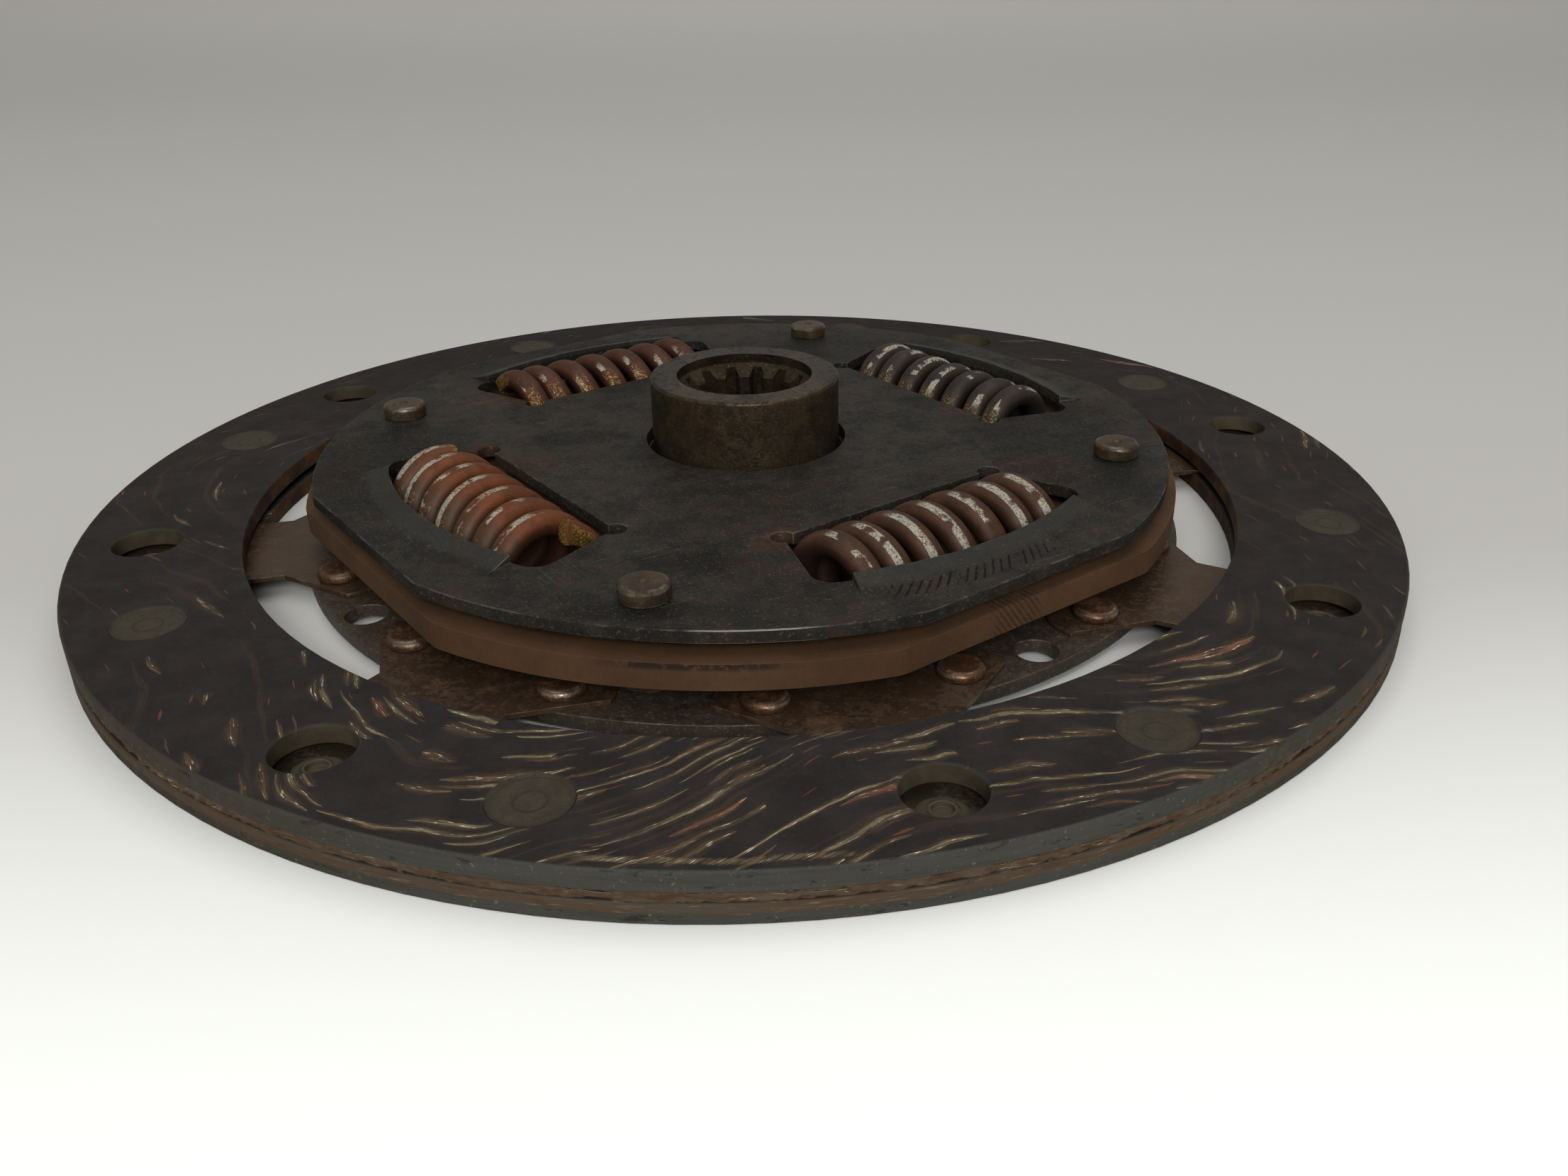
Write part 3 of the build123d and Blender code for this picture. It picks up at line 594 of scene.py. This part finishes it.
def spring_wire(name, colours, body, tip_angle, paint_and_highlight, glitter, olive, shift):
    """Coil wire, part olive. The pale strip of paint, partly a painted highlight, and the glitter: angle round
    the coil, half width, girth, half width, share.
    """
    *paint_and_highlight, paint_and_highlight_share = paint_and_highlight
    *glitter, glitter_share = glitter
    s = Shader(name, shift)
    turn, girth, _ = s.split(s.value(0, "ShaderNodeUVMap", {"uv_map": "wire"}))
    grounded = s.attribute("ground_end")
    close = s.noise(2.4, 5, 0.66)
    grain = s.noise(0.35, 3, 0.7, 3)
    along = s.pattern(turn * 9.0, girth * 16.0)
    ragged = s.pattern(turn * 16.0, girth * 14.0, 6, 4.0, 0.7) - 0.5

    def strip(angle, angle_width, side, side_width):
        """Share of a strip of the wire's skin: part of each turn, and part of the wire's girth."""
        clock = s.maths("COSINE", (turn + (angle - tip_angle) / 360) * math.tau)
        place = s.maths("COSINE", (girth - side) * math.tau)
        low_clock, low_place = math.cos(math.radians(angle_width)), math.cos(side_width * math.tau)
        wide = s.step(clock + ragged * 0.3, low_clock - 0.1, low_clock + 0.1)
        thin = s.step(place + ragged * (1 - low_place) * 1.6, low_place, low_place + (1 - low_place) * 0.35)
        return wide * thin

    base = s.blend(s.step(close, 0.3, 0.72), body, 1.15, 0.6)
    base.lay(s.step(along, 0.5, 0.75) * 0.45, body, 1.5)
    base.lay(s.step(grain, 0.55, 0.75) * 0.25, colours.rust_dark, 0.5)
    outer = s.step(s.maths("COSINE", (turn - (5.0 + tip_angle) / 360) * math.tau) + ragged * 0.4, 0.2, 0.9)
    base.lay(outer * olive, colours.brake_dust, 0.9)
    # Painted shade: the inner side of the wire, towards the coil's axis and between the turns, is darkened.
    darkened = s.step(s.maths("COSINE", girth * math.tau) + ragged * 0.3, 0.5, -0.2)
    base.lay(darkened * 0.75, colours.rust_dark, 0.4)
    specks = s.noise(0.28, 3, 0.8, 9)
    chips = s.step(specks * 0.5 + close * 0.5, 0.42, 0.48)
    lost = 0.62 - 0.24 * paint_and_highlight_share
    # Pale strip of marking paint, partly a painted highlight along the coils.
    cover = strip(*paint_and_highlight) * chips * s.step(s.noise(5, 3, seed=15), lost, lost + 0.05)
    pale = s.mix(s.step(specks, 0.38, 0.6), tinted(colours.spring_paint_and_highlight, 0.35), colours.spring_paint_and_highlight)
    base.lay(cover, pale)
    sparks = s.step(s.noise(0.3, 2, 0.6, 12), 0.5, 0.66)
    bright = strip(*glitter) * glitter_share * sparks
    base.lay(bright, colours.brass)
    base.lay(grounded, s.blend(sparks, colours.brass, 0.4, 1.3))
    metallic = bright | grounded | 0.2 * (1 - cover)
    relief = close * 0.4 + grain * 0.3 + cover * 0.4 + grounded * sparks * 0.6
    roughness = 0.5 + 0.16 * close + 0.2 * cover
    return s.finish(base, roughness, 0.28, metallic, relief, 0.06 * MM)


def olive_dust(s, colours, low, high, pale):
    """Coat of olive dust with pale grains, and the two noises of its relief."""
    close = s.noise(1.4, 4, 0.65)
    grain = s.noise(0.25, 3, 0.7)
    base = s.blend(s.step(close, 0.3, 0.7), colours.brake_dust, low, high)
    base.lay(s.step(grain, 0.5, 0.75) * 0.35, colours.yarn_pale, pale)
    return base, close, grain


def rivet_dust(name, colours, bearing, head):
    """Facing rivets under baked dust: rings on the flush heads, and on the tails a paler coat that is painted
    light in the deep holes.
    """
    s = Shader(name)
    away = s.from_rivet(bearing)
    base, close, grain = olive_dust(s, colours, 0.75, 1.1, 0.45)
    if head:
        on_head = s.step(away + (close - 0.5) * 0.5, *RIVET_HEAD_EDGE)
        base = s.mix(on_head, tinted(colours.facing_dark, 1.1), base)
    else:
        # Painted light: the tails deep in their holes are made paler.
        base.lay(0.5, colours.brake_dust, 1.9)
    arc = s.near(away, *RIVET_GROOVE) * s.step(close, 0.35, 0.55)
    base.lay(arc * 0.6, colours.facing_dark, 0.8)
    base.lay(s.edge() * 0.25, colours.yarn_pale, 0.5)
    relief = close * 0.5 + grain * 0.4 - arc * 0.8
    return s.finish(base, 0.72 + 0.15 * grain, 0.25, 0.15, relief, 0.07 * MM)


def leaf_dust_and_highlight(colours):
    """Dust on a cushion segment: olive in the access holes, rust out at the rim, where its edges carry a
    painted pale highlight towards the front.
    """

    def settle(s, base, rubbed, close):
        hole = s.step(s.from_rivet(DEEP_RIVET_BEARING), *ACCESS_HOLE_EDGE)
        hole = hole | s.step(s.from_rivet(FLUSH_RIVET_BEARING), *ACCESS_HOLE_EDGE)
        base.lay(hole, s.blend(s.step(close, 0.35, 0.7), colours.brake_dust, 0.7, 1.0))
        rim = s.step(s.radius(), FACING_RADIUS - 3.0, FACING_RADIUS - 1.5)
        worn = s.mix(s.step(close, 0.35, 0.65), tinted(colours.rust, 0.9), tinted(colours.dark_steel, 1.5))
        base.lay(rim, worn)
        # Painted highlight: pale blue-grey on the leaves' rounded edges at the rim, towards the front.
        painted_highlight = s.step(s.noise_at(s.point, 9.0, 2.0, 0.55), 0.4, 0.5) * s.step(abs(s.bearing()), *LEAF_HIGHLIGHT_SPAN)
        painted_highlight = s.edge() * rim * painted_highlight
        base.lay(painted_highlight * 0.9, shade(112, 120, 118))
        return rubbed * (1 - rim) * (1 - hole)

    return settle


def baked_dust_material(name, colours):
    """Olive dust baked round the rivets."""
    s = Shader(name)
    base, close, grain = olive_dust(s, colours, 0.6, 0.95, 0.4)
    return s.finish(base, 0.75 + 0.15 * grain, 0.2, relief=close * 0.6 + grain * 0.4, depth=0.08 * MM)


def packed_dust_material(name, colours):
    """Rusty dust with torn yarn in it."""
    s = Shader(name)
    bearing = s.bearing()
    clumps = s.pattern(bearing * 30.0, s.z / 0.7, 2.0, 4.0, 0.65)
    fibres = s.step(s.pattern(bearing * 34.0, s.z / 0.2, 5.0), 0.56, 0.68)
    base = s.mix(s.step(clumps, 0.35, 0.65), tinted(colours.rust, 0.6), tinted(colours.dark_steel, 1.3))
    base.lay(fibres * s.step(s.noise(9, 2), 0.42, 0.6), colours.yarn_pale, 1.3)
    relief = clumps + fibres * 0.5
    return s.finish(base, 0.8 + 0.1 * clumps, 0.2, relief=relief, depth=0.15 * MM, strength=0.8)


def friction_ring_material(name, colours):
    """Moulded friction washers inside the damper."""
    s = Shader(name)
    turned = s.rings(40, 0.5)
    base = s.mix(s.step(turned, 0.35, 0.7), colours.facing_dark, colours.yarn_brown)
    base.lay(s.step(s.noise(1.2, 3, 0.7), 0.6, 0.75) * 0.4, colours.facing_rim)
    return s.finish(base, 0.7 + 0.15 * turned, 0.3, relief=turned, depth=0.05 * MM, strength=0.6)


# ---- mesh helpers
def made_object(name, mesh, material):
    """An object of a finished bmesh, which is freed."""
    made = bpy.data.meshes.new(name)
    mesh.to_mesh(made)
    mesh.free()
    made.materials.append(material)
    piece = bpy.data.objects.new(name, made)
    bpy.context.scene.collection.objects.link(piece)
    return piece


def worn_copy(node, edge, material, steps=2):
    """Puts a copy of a frame node in its place, with rounded edges that are marked as rubbed."""
    source = frame["nodes"][node]
    work = bmesh.new()
    work.from_mesh(source.data)
    bmesh.ops.remove_doubles(work, verts=work.verts, dist=0.002 * MM)
    flat = math.radians(0.5)
    bmesh.ops.dissolve_limit(work, angle_limit=flat, verts=work.verts, edges=work.edges, delimit=set())
    piece = made_object(f"{node}_worn", work, material)
    piece.data.materials.append(material)
    piece.data.shade_smooth()
    rounding = piece.modifiers.new("rounding", "BEVEL")
    rounding.width = edge
    rounding.segments = steps
    rounding.limit_method = "ANGLE"
    rounding.angle_limit = math.radians(32)
    rounding.material = 1
    piece.modifiers.new("even_shading", "WEIGHTED_NORMAL")
    depsgraph = bpy.context.evaluated_depsgraph_get()
    finished = bpy.data.meshes.new_from_object(piece.evaluated_get(depsgraph), depsgraph=depsgraph)
    piece.modifiers.clear()
    piece.data = finished
    finished.name = piece.name
    rubbed = finished.attributes.new("rubbed_edge", "FLOAT", "CORNER")
    rounded = [float(face.material_index) for face in finished.polygons for _ in face.loop_indices]
    rubbed.data.foreach_set("value", rounded)
    finished.materials.pop(index=1)
    if not finished.polygons:
        raise RuntimeError(f"{node} came out empty")
    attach(piece, source["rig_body"])
    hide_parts(node)


def closed_object(name, mesh, material, crease):
    """An object of a closed bmesh, whose edges are sharp from an angle in degrees."""
    bmesh.ops.recalc_face_normals(mesh, faces=mesh.faces)
    piece = made_object(name, mesh, material)
    piece.data.set_sharp_from_angle(angle=math.radians(crease))
    return piece


def stitch(mesh, rows, smooth):
    """Joins the rows of points of a closed ring with faces; the first few round each row are smooth."""
    for here, there in zip(rows, rows[1:] + rows[:1]):
        for k in range(len(here)):
            j = (k + 1) % len(here)
            mesh.faces.new((here[k], there[k], there[j], here[j])).smooth = k < smooth


def wound_spring(name, sizes, material, tip_angle):
    """A right-handed coil of oval wire along +Y about the origin, with closed ends ground flat."""
    turns, ring_steps, wire_steps = 7.0, 48, 22
    end_turns, end_pitch, ground_off = 1.5, 0.58, 0.8 * MM
    roundness = 0.85
    reach = sizes.spring_length + ground_off
    coil_radius = sizes.spring_radius - sizes.wire_height / 2
    steps = round(turns * ring_steps)

    def opening(turn):
        from_end = min(turn, turns - turn) / end_turns
        return end_pitch + (1 - end_pitch) * min(1.0, from_end)

    def oval(value, size):
        return math.copysign(abs(value) ** roundness, value) * size / 2

    rises = [opening((i + 0.5) / ring_steps) for i in range(steps)]
    pitch = (reach - sizes.wire_width) / sum(rises)
    mesh = bmesh.new()
    wire = mesh.loops.layers.uv.new("wire")
    grounded = mesh.verts.layers.float.new("ground_end")
    y = -(reach - sizes.wire_width) / 2
    half = sizes.spring_length / 2
    rows = []
    for i in range(steps + 1):
        angle = math.radians(tip_angle) - i / ring_steps * math.tau
        row = []
        for k in range(wire_steps):
            around = k / wire_steps * math.tau
            distance = coil_radius + oval(math.cos(around), sizes.wire_height)
            along = y + oval(math.sin(around), sizes.wire_width)
            place = (distance * math.cos(angle), max(-half, min(half, along)), distance * math.sin(angle))
            corner = mesh.verts.new(place)
            corner[grounded] = 1.0 if abs(along) > half else 0.0
            row.append(corner)
        rows.append(row)
        y += pitch * rises[min(i, steps - 1)]
    for i in range(steps):
        for k in range(wire_steps):
            j = (k + 1) % wire_steps
            face = mesh.faces.new((rows[i][k], rows[i + 1][k], rows[i + 1][j], rows[i][j]))
            face.smooth = True
            for loop, (turn, part) in zip(face.loops, ((i, k), (i + 1, k), (i + 1, k + 1), (i, k + 1))):
                loop[wire].uv = (turn / ring_steps, part / wire_steps)
    for row, order in ((rows[0], 1), (rows[-1], -1)):
        cut = [mesh.verts.new(corner.co) for corner in row[::order]]
        for corner in cut:
            corner[grounded] = 1.0
        mesh.faces.new(cut)
    bmesh.ops.remove_doubles(mesh, verts=mesh.verts, dist=0.0001 * MM)
    return closed_object(name, mesh, material, 40)


def dust_ring(name, sizes, material):
    """Uneven ring of packed dust between the facings, just inside their rims."""
    steps, low, high, width = 1440, 2.72 * MM, 3.88 * MM, 1.8 * MM
    coarse, fine = 70, 260
    rim = FACING_RADIUS * MM - sizes.dust_depth
    inner = rim - width
    mesh = bmesh.new()
    rows = []
    for i in range(steps):
        angle = i / steps * math.tau
        way = Vector((math.cos(angle), math.sin(angle), 0.0))
        row = []
        for level, share in enumerate((0.0, 0.25, 0.5, 0.75, 1.0)):
            clump = noise.noise(way * coarse + Vector((0, 0, level * 0.8))) * 0.32
            clump += noise.noise(way * fine + Vector((0, 0, level * 1.7))) * 0.2
            dip = max(0.0, noise.noise(way * 9.0) - 0.25) * 1.6
            rise = Vector((0, 0, low + share * (high - low)))
            row.append(mesh.verts.new(way * (rim + (clump - dip) * MM) + rise))
        row.append(mesh.verts.new(way * inner + Vector((0, 0, high))))
        row.append(mesh.verts.new(way * inner + Vector((0, 0, low))))
        rows.append(row)
    stitch(mesh, rows, 4)
    return closed_object(name, mesh, material, 60)


def dust_collars(name, bearing, level, inwards, material):
    """Low fillets of baked dust between the flush rivet heads and their holes, level with a facing's face."""
    steps = 72
    profile = ((4.15, 0.29), (4.4, 0.27), (4.58, 0.16), (4.72, 0.03), (4.72, 0.5), (4.15, 0.5))
    mesh = bmesh.new()
    for rivet in range(SEGMENTS):
        angle = bearing - math.pi / 2 + rivet * math.tau / SEGMENTS
        centre = Vector((math.cos(angle), math.sin(angle), 0.0)) * RIVET_CIRCLE
        rows = []
        for i in range(steps):
            turn = i / steps * math.tau
            way = Vector((math.cos(turn), math.sin(turn), 0.0))
            rough = noise.noise(way * 2.5 + Vector((rivet * 7.0, 0, level))) * 0.035
            row = []
            for k, (radius, depth) in enumerate(profile):
                deep = depth + rough + 0.04 if k < 4 else depth
                spot = centre + way * radius + Vector((0, 0, level + inwards * deep))
                row.append(mesh.verts.new(spot * MM))
            rows.append(row)
        stitch(mesh, rows, 3)
    return closed_object(name, mesh, material, 50)


# ---- operators
def panel_choices(context):
    """The panel's sizes and colours."""
    return context.scene.clutch_disc_sizes, context.scene.clutch_disc_colours


class CLUTCH_DISC_OT_facings(bpy.types.Operator):
    """Dress both friction facings with wound yarn and worn edges"""

    bl_idname = "clutch_disc.facings"
    bl_label = "Friction facings"

    def execute(self, context):
        sizes, colours = panel_choices(context)
        upper = friction_material("friction_face_upper", colours, sizes, (3.9, 4.0), upper=True, shift=0.0)
        lower = friction_material("friction_face_lower", colours, sizes, (1.35, 3.0), upper=False, shift=4.0)
        worn_copy("gearbox_facing", sizes.facing_edge, upper)
        worn_copy("flywheel_facing", sizes.facing_edge, lower)
        return {"FINISHED"}


class CLUTCH_DISC_OT_dust(bpy.types.Operator):
    """Pack rusty dust between the facings' rims and round the flush rivet heads"""

    bl_idname = "clutch_disc.dust"
    bl_label = "Packed dust"

    def execute(self, context):
        sizes, colours = panel_choices(context)
        dust = packed_dust_material("packed_dust", colours)
        olive = baked_dust_material("baked_dust", colours)
        ring = dust_ring("packed_dust", sizes, dust)
        upper = dust_collars("flush_rivet_dust_gearbox", FLUSH_RIVET_BEARING, FACING_TOP, -1.0, olive)
        lower = dust_collars("flush_rivet_dust_flywheel", DEEP_RIVET_BEARING, 0.0, 1.0, olive)
        for piece, facing in ((ring, "flywheel_facing"), (upper, "gearbox_facing"), (lower, "flywheel_facing")):
            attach(piece, frame["nodes"][facing]["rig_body"])
        return {"FINISHED"}


class CLUTCH_DISC_OT_segments(bpy.types.Operator):
    """Give the cushion segments their brown spring steel"""

    bl_idname = "clutch_disc.segments"
    bl_label = "Cushion segments"

    def execute(self, context):
        colours = context.scene.clutch_disc_colours
        for i in range(SEGMENTS):
            leaf = worn_steel(
                f"segment_steel_{i + 1}", colours.leaf_steel, colours.rust, colours.bare,
                rust=0.3, shift=7.0 * i, roughness=0.36, rub=0.5, pits=0.1, contrast=0.5, shine=0.6,
                dust=leaf_dust_and_highlight(colours),
            )
            worn_copy(f"cushion_segment_{i + 1}", 0.1 * MM, leaf, steps=1)
        return {"FINISHED"}


class CLUTCH_DISC_OT_plates(bpy.types.Operator):
    """Dress the disc plate and the retainer plate"""

    bl_idname = "clutch_disc.plates"
    bl_label = "Plates"

    def execute(self, context):
        sizes, colours = panel_choices(context)
        carrier = worn_steel(
            "disc_plate_steel", colours.dark_steel, colours.rust_dark, colours.bare,
            rust=0.35, shift=2.0, speckle=0.35, roughness=0.52, rub=0.1, shine=0.5, contrast=0.7,
        )
        cover = worn_steel(
            "retainer_plate_steel", colours.plate_steel, colours.rust_dark, colours.bare,
            rust=0.25, shift=5.0, turned=0.06, scratches=0.1, roughness=0.5, rub=0.12, shine=0.1, gloss=0.1,
            speckle=0.2, contrast=0.9, lip=(14.2, shade(48, 47, 43), 0.5), ticks=RETAINER_TICKS,
            stains=RETAINER_STAINS, darkened=RETAINER_DARK_PATCHES, bright_edges=RETAINER_BRIGHT_EDGE,
        )
        worn_copy("disc_plate", sizes.plate_edge, carrier)
        worn_copy("retainer_plate", sizes.plate_edge, cover)
        return {"FINISHED"}


class CLUTCH_DISC_OT_hub(bpy.types.Operator):
    """Dress the splined hub and its rusty flange"""

    bl_idname = "clutch_disc.hub"
    bl_label = "Hub and flange"

    def execute(self, context):
        sizes, colours = panel_choices(context)
        # The hub's rubbed edges are brassy; the bright edge at its front is partly a painted highlight.
        forged = worn_steel(
            "hub_steel", colours.hub_steel, colours.rust_dark, shade(152, 138, 104),
            rust=0.3, shift=11.0, pits=0.8, roughness=0.36, rub=0.7, contrast=0.9, speckle=0.25, gloss=0.1,
            darkened=HUB_PAINTED_SHADE, bright_edges=HUB_EDGE_WEAR_AND_HIGHLIGHT,
        )
        worn_copy("hub", sizes.plate_edge, forged)
        worn_copy("hub_flange", 0.3 * MM, rust_film("flange_rust", colours))
        return {"FINISHED"}


class CLUTCH_DISC_OT_springs(bpy.types.Operator):
    """Wind the damper springs in the place of the frame's own"""

    bl_idname = "clutch_disc.springs"
    bl_label = "Damper springs"

    def execute(self, context):
        sizes, colours = panel_choices(context)
        low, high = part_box("damper_spring_1")
        height = (low.z + high.z) / 2
        brown, copper, silver = shade(62, 38, 24), shade(64, 34, 20), shade(42, 34, 29)
        # Angle of the wire's tip, body colour, strip of pale paint and painted highlight, brassy strip and how
        # olive the outer side is.
        springs = (
            (205.0, brown, (38.0, 60.0, 0.955, 0.05, 0.8), (20.0, 40.0, 0.25, 0.05, 0.2), 0.0),
            (270.0, silver, (80.0, 60.0, 0.92, 0.05, 0.4), (165.0, 25.0, 0.95, 0.12, 0.6), 0.3),
            (45.0, copper, (150.0, 40.0, 0.12, 0.05, 0.4), (160.0, 32.0, 0.08, 0.1, 0.8), 0.0),
            (110.0, colours.rust_bright, (45.0, 50.0, 0.995, 0.045, 0.6), (5.0, 25.0, 0.05, 0.09, 0.6), 0.75),
        )
        for i, (tip, body, paint_and_highlight, glitter, olive) in enumerate(springs):
            angle = FIRST_WINDOW_ANGLE + i * math.tau / WINDOWS
            wire = spring_wire(f"spring_wire_{i + 1}", colours, body, tip, paint_and_highlight, glitter, olive, 9.0 * i)
            spring = wound_spring(f"damper_spring_{i + 1}_wound", sizes, wire, tip)
            outwards = Matrix.Translation((sizes.spring_distance, 0, height))
            spring.data.transform(Matrix.Rotation(angle, 4, "Z") @ outwards)
            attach(spring, "damper_springs")
            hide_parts(f"damper_spring_{i + 1}")
            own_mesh(spring)
        return {"FINISHED"}


class CLUTCH_DISC_OT_rivets(bpy.types.Operator):
    """Dress the rivets and the stop pins"""

    bl_idname = "clutch_disc.rivets"
    bl_label = "Rivets and pins"

    def execute(self, context):
        sizes, colours = panel_choices(context)
        stain = tinted(colours.rust, 0.9)
        pins = worn_steel(
            "pin_steel", colours.bronze, stain, colours.bare,
            rust=0.25, shift=3.0, roughness=0.36, pits=0.4, shine=0.5, gloss=0.12,
        )
        rivets = worn_steel(
            "rivet_steel", shade(88, 62, 43), stain, colours.bare,
            rust=0.35, shift=8.0, roughness=0.34, rub=0.35, pits=0.1, contrast=0.6,
        )
        flush = rivet_dust("flush_rivet_dust", colours, FLUSH_RIVET_BEARING, head=True)
        deep = rivet_dust("deep_rivet_dust_and_painted_light", colours, DEEP_RIVET_BEARING, head=False)
        worn_copy("stop_pins", sizes.rivet_edge, pins)
        worn_copy("segment_rivets", sizes.rivet_edge, rivets)
        worn_copy("gearbox_facing_rivets", 0.12 * MM, flush)
        worn_copy("flywheel_facing_rivets", 0.12 * MM, deep)
        return {"FINISHED"}


class CLUTCH_DISC_OT_washers(bpy.types.Operator):
    """Give the washers inside the damper their finishes"""

    bl_idname = "clutch_disc.washers"
    bl_label = "Inner washers"

    def execute(self, context):
        colours = context.scene.clutch_disc_colours
        steel = tinted(colours.plate_steel, 2.5)
        ground = worn_steel("washer_steel", steel, colours.rust, colours.bare, rust=0.3, turned=0.5)
        moulded = friction_ring_material("friction_ring", colours)
        for node, finish in (
            ("flywheel_friction_ring", moulded),
            ("gearbox_friction_ring", moulded),
            ("thrust_washer", ground),
            ("spring_washer", ground),
        ):
            piece = frame["nodes"][node]
            piece.data.materials.clear()
            piece.data.materials.append(finish)
        return {"FINISHED"}


class CLUTCH_DISC_OT_studio(bpy.types.Operator):
    """Set up the pale floor, the soft light and the camera"""

    bl_idname = "clutch_disc.studio"
    bl_label = "Studio"

    def execute(self, context):
        colours = context.scene.clutch_disc_colours
        self.floor(colours)
        self.light(context.scene)
        self.camera(context.scene)
        context.scene.view_settings.view_transform = "Standard"
        return {"FINISHED"}

    def floor(self, colours):
        """Floor that curves up into a backdrop."""
        half_width, front, bend, wall = 3.0, -1.5, 1.6, 2.6
        rise = 0.7
        profile = [(front, 0.0), (bend, 0.0)]
        for i in range(1, 13):
            turn = i * math.pi / 24
            profile.append((bend + rise * math.sin(turn), rise - rise * math.cos(turn)))
        profile.append((bend + rise, wall))
        mesh = bmesh.new()
        rows = [[mesh.verts.new((side * half_width, y, z)) for side in (-1, 1)] for y, z in profile]
        for first, second in zip(rows, rows[1:]):
            mesh.faces.new((first[0], first[1], second[1], second[0])).smooth = True
        s = Shader("floor_finish")
        # Painted light: white at the front, grey behind the disc, paler on the wall.
        tint = s.mix(s.step(s.y, -140.0, -10.0), colours.floor, colours.floor_middle)
        tint.lay(s.step(s.y, -20.0, 240.0), colours.backdrop)
        tint.lay(s.step(s.y, 500.0, 1800.0), colours.wall)
        made_object("floor", mesh, s.finish(tint, 0.6, 0.2))

    def light(self, scene):
        world = bpy.data.worlds.new("soft_room")
        scene.world = world
        world.use_nodes = True
        background = world.node_tree.nodes["Background"]
        background.inputs["Color"].default_value = (1.0, 0.98, 0.95, 1.0)
        background.inputs["Strength"].default_value = 0.32
        for name, place, size, power in (
            ("front_panel", (0.04, -0.9, 0.5), 0.4, 8.0),
            ("key_panel", (-0.5, -0.7, 1.5), 1.2, 6.5),
            ("top_panel", (0.3, 0.4, 1.7), 1.5, 11.0),
        ):
            lamp = bpy.data.lights.new(name, "AREA")
            lamp.shape = "SQUARE"
            lamp.size = size
            lamp.energy = power
            panel = bpy.data.objects.new(name, lamp)
            panel.location = place
            panel.rotation_euler = (-Vector(place)).to_track_quat("-Z", "Y").to_euler()
            scene.collection.objects.link(panel)

    def camera(self, scene):
        place = Vector((0.0, -0.20028, 0.08704))
        pitch, yaw, roll = math.radians(26.51), math.radians(3.23), math.radians(0.19)
        lens = bpy.data.cameras.new("camera")
        lens.sensor_width = 36.0
        lens.lens = 30.315
        lens.shift_x = -0.02113
        lens.shift_y = -0.00283
        lens.clip_start = 0.01
        camera = bpy.data.objects.new("camera", lens)
        turned = Matrix.Rotation(-yaw, 4, "Z") @ Matrix.Rotation(math.pi / 2 - pitch, 4, "X")
        camera.matrix_world = Matrix.Translation(place) @ turned @ Matrix.Rotation(-roll, 4, "Z")
        scene.collection.objects.link(camera)
        scene.camera = camera


class CLUTCH_DISC_PT_panel(bpy.types.Panel):
    """Clutch disc tools in the sidebar"""

    bl_idname = "CLUTCH_DISC_PT_panel"
    bl_label = "Clutch Disc"
    bl_space_type = "VIEW_3D"
    bl_region_type = "UI"
    bl_category = "Clutch Disc"

    def draw(self, context):
        for operator in OPERATORS:
            self.layout.operator(operator.bl_idname)
        for group in panel_choices(context):
            for name in group.bl_rna.properties.keys():
                if name not in ("rna_type", "name"):
                    self.layout.prop(group, name)


OPERATORS = (
    CLUTCH_DISC_OT_facings,
    CLUTCH_DISC_OT_dust,
    CLUTCH_DISC_OT_segments,
    CLUTCH_DISC_OT_plates,
    CLUTCH_DISC_OT_hub,
    CLUTCH_DISC_OT_springs,
    CLUTCH_DISC_OT_rivets,
    CLUTCH_DISC_OT_washers,
    CLUTCH_DISC_OT_studio,
)
CLASSES = (ClutchDiscSizes, ClutchDiscColours, *OPERATORS, CLUTCH_DISC_PT_panel)


def register():
    for kind in CLASSES:
        bpy.utils.register_class(kind)
    bpy.types.Scene.clutch_disc_sizes = bpy.props.PointerProperty(type=ClutchDiscSizes)
    bpy.types.Scene.clutch_disc_colours = bpy.props.PointerProperty(type=ClutchDiscColours)


def unregister():
    del bpy.types.Scene.clutch_disc_colours
    del bpy.types.Scene.clutch_disc_sizes
    for kind in reversed(CLASSES):
        bpy.utils.unregister_class(kind)


def main():
    register()
    bpy.ops.clutch_disc.studio()
    bpy.ops.clutch_disc.facings()
    bpy.ops.clutch_disc.dust()
    bpy.ops.clutch_disc.segments()
    bpy.ops.clutch_disc.plates()
    bpy.ops.clutch_disc.hub()
    bpy.ops.clutch_disc.springs()
    bpy.ops.clutch_disc.rivets()
    bpy.ops.clutch_disc.washers()


if __name__ == "__main__":
    main()
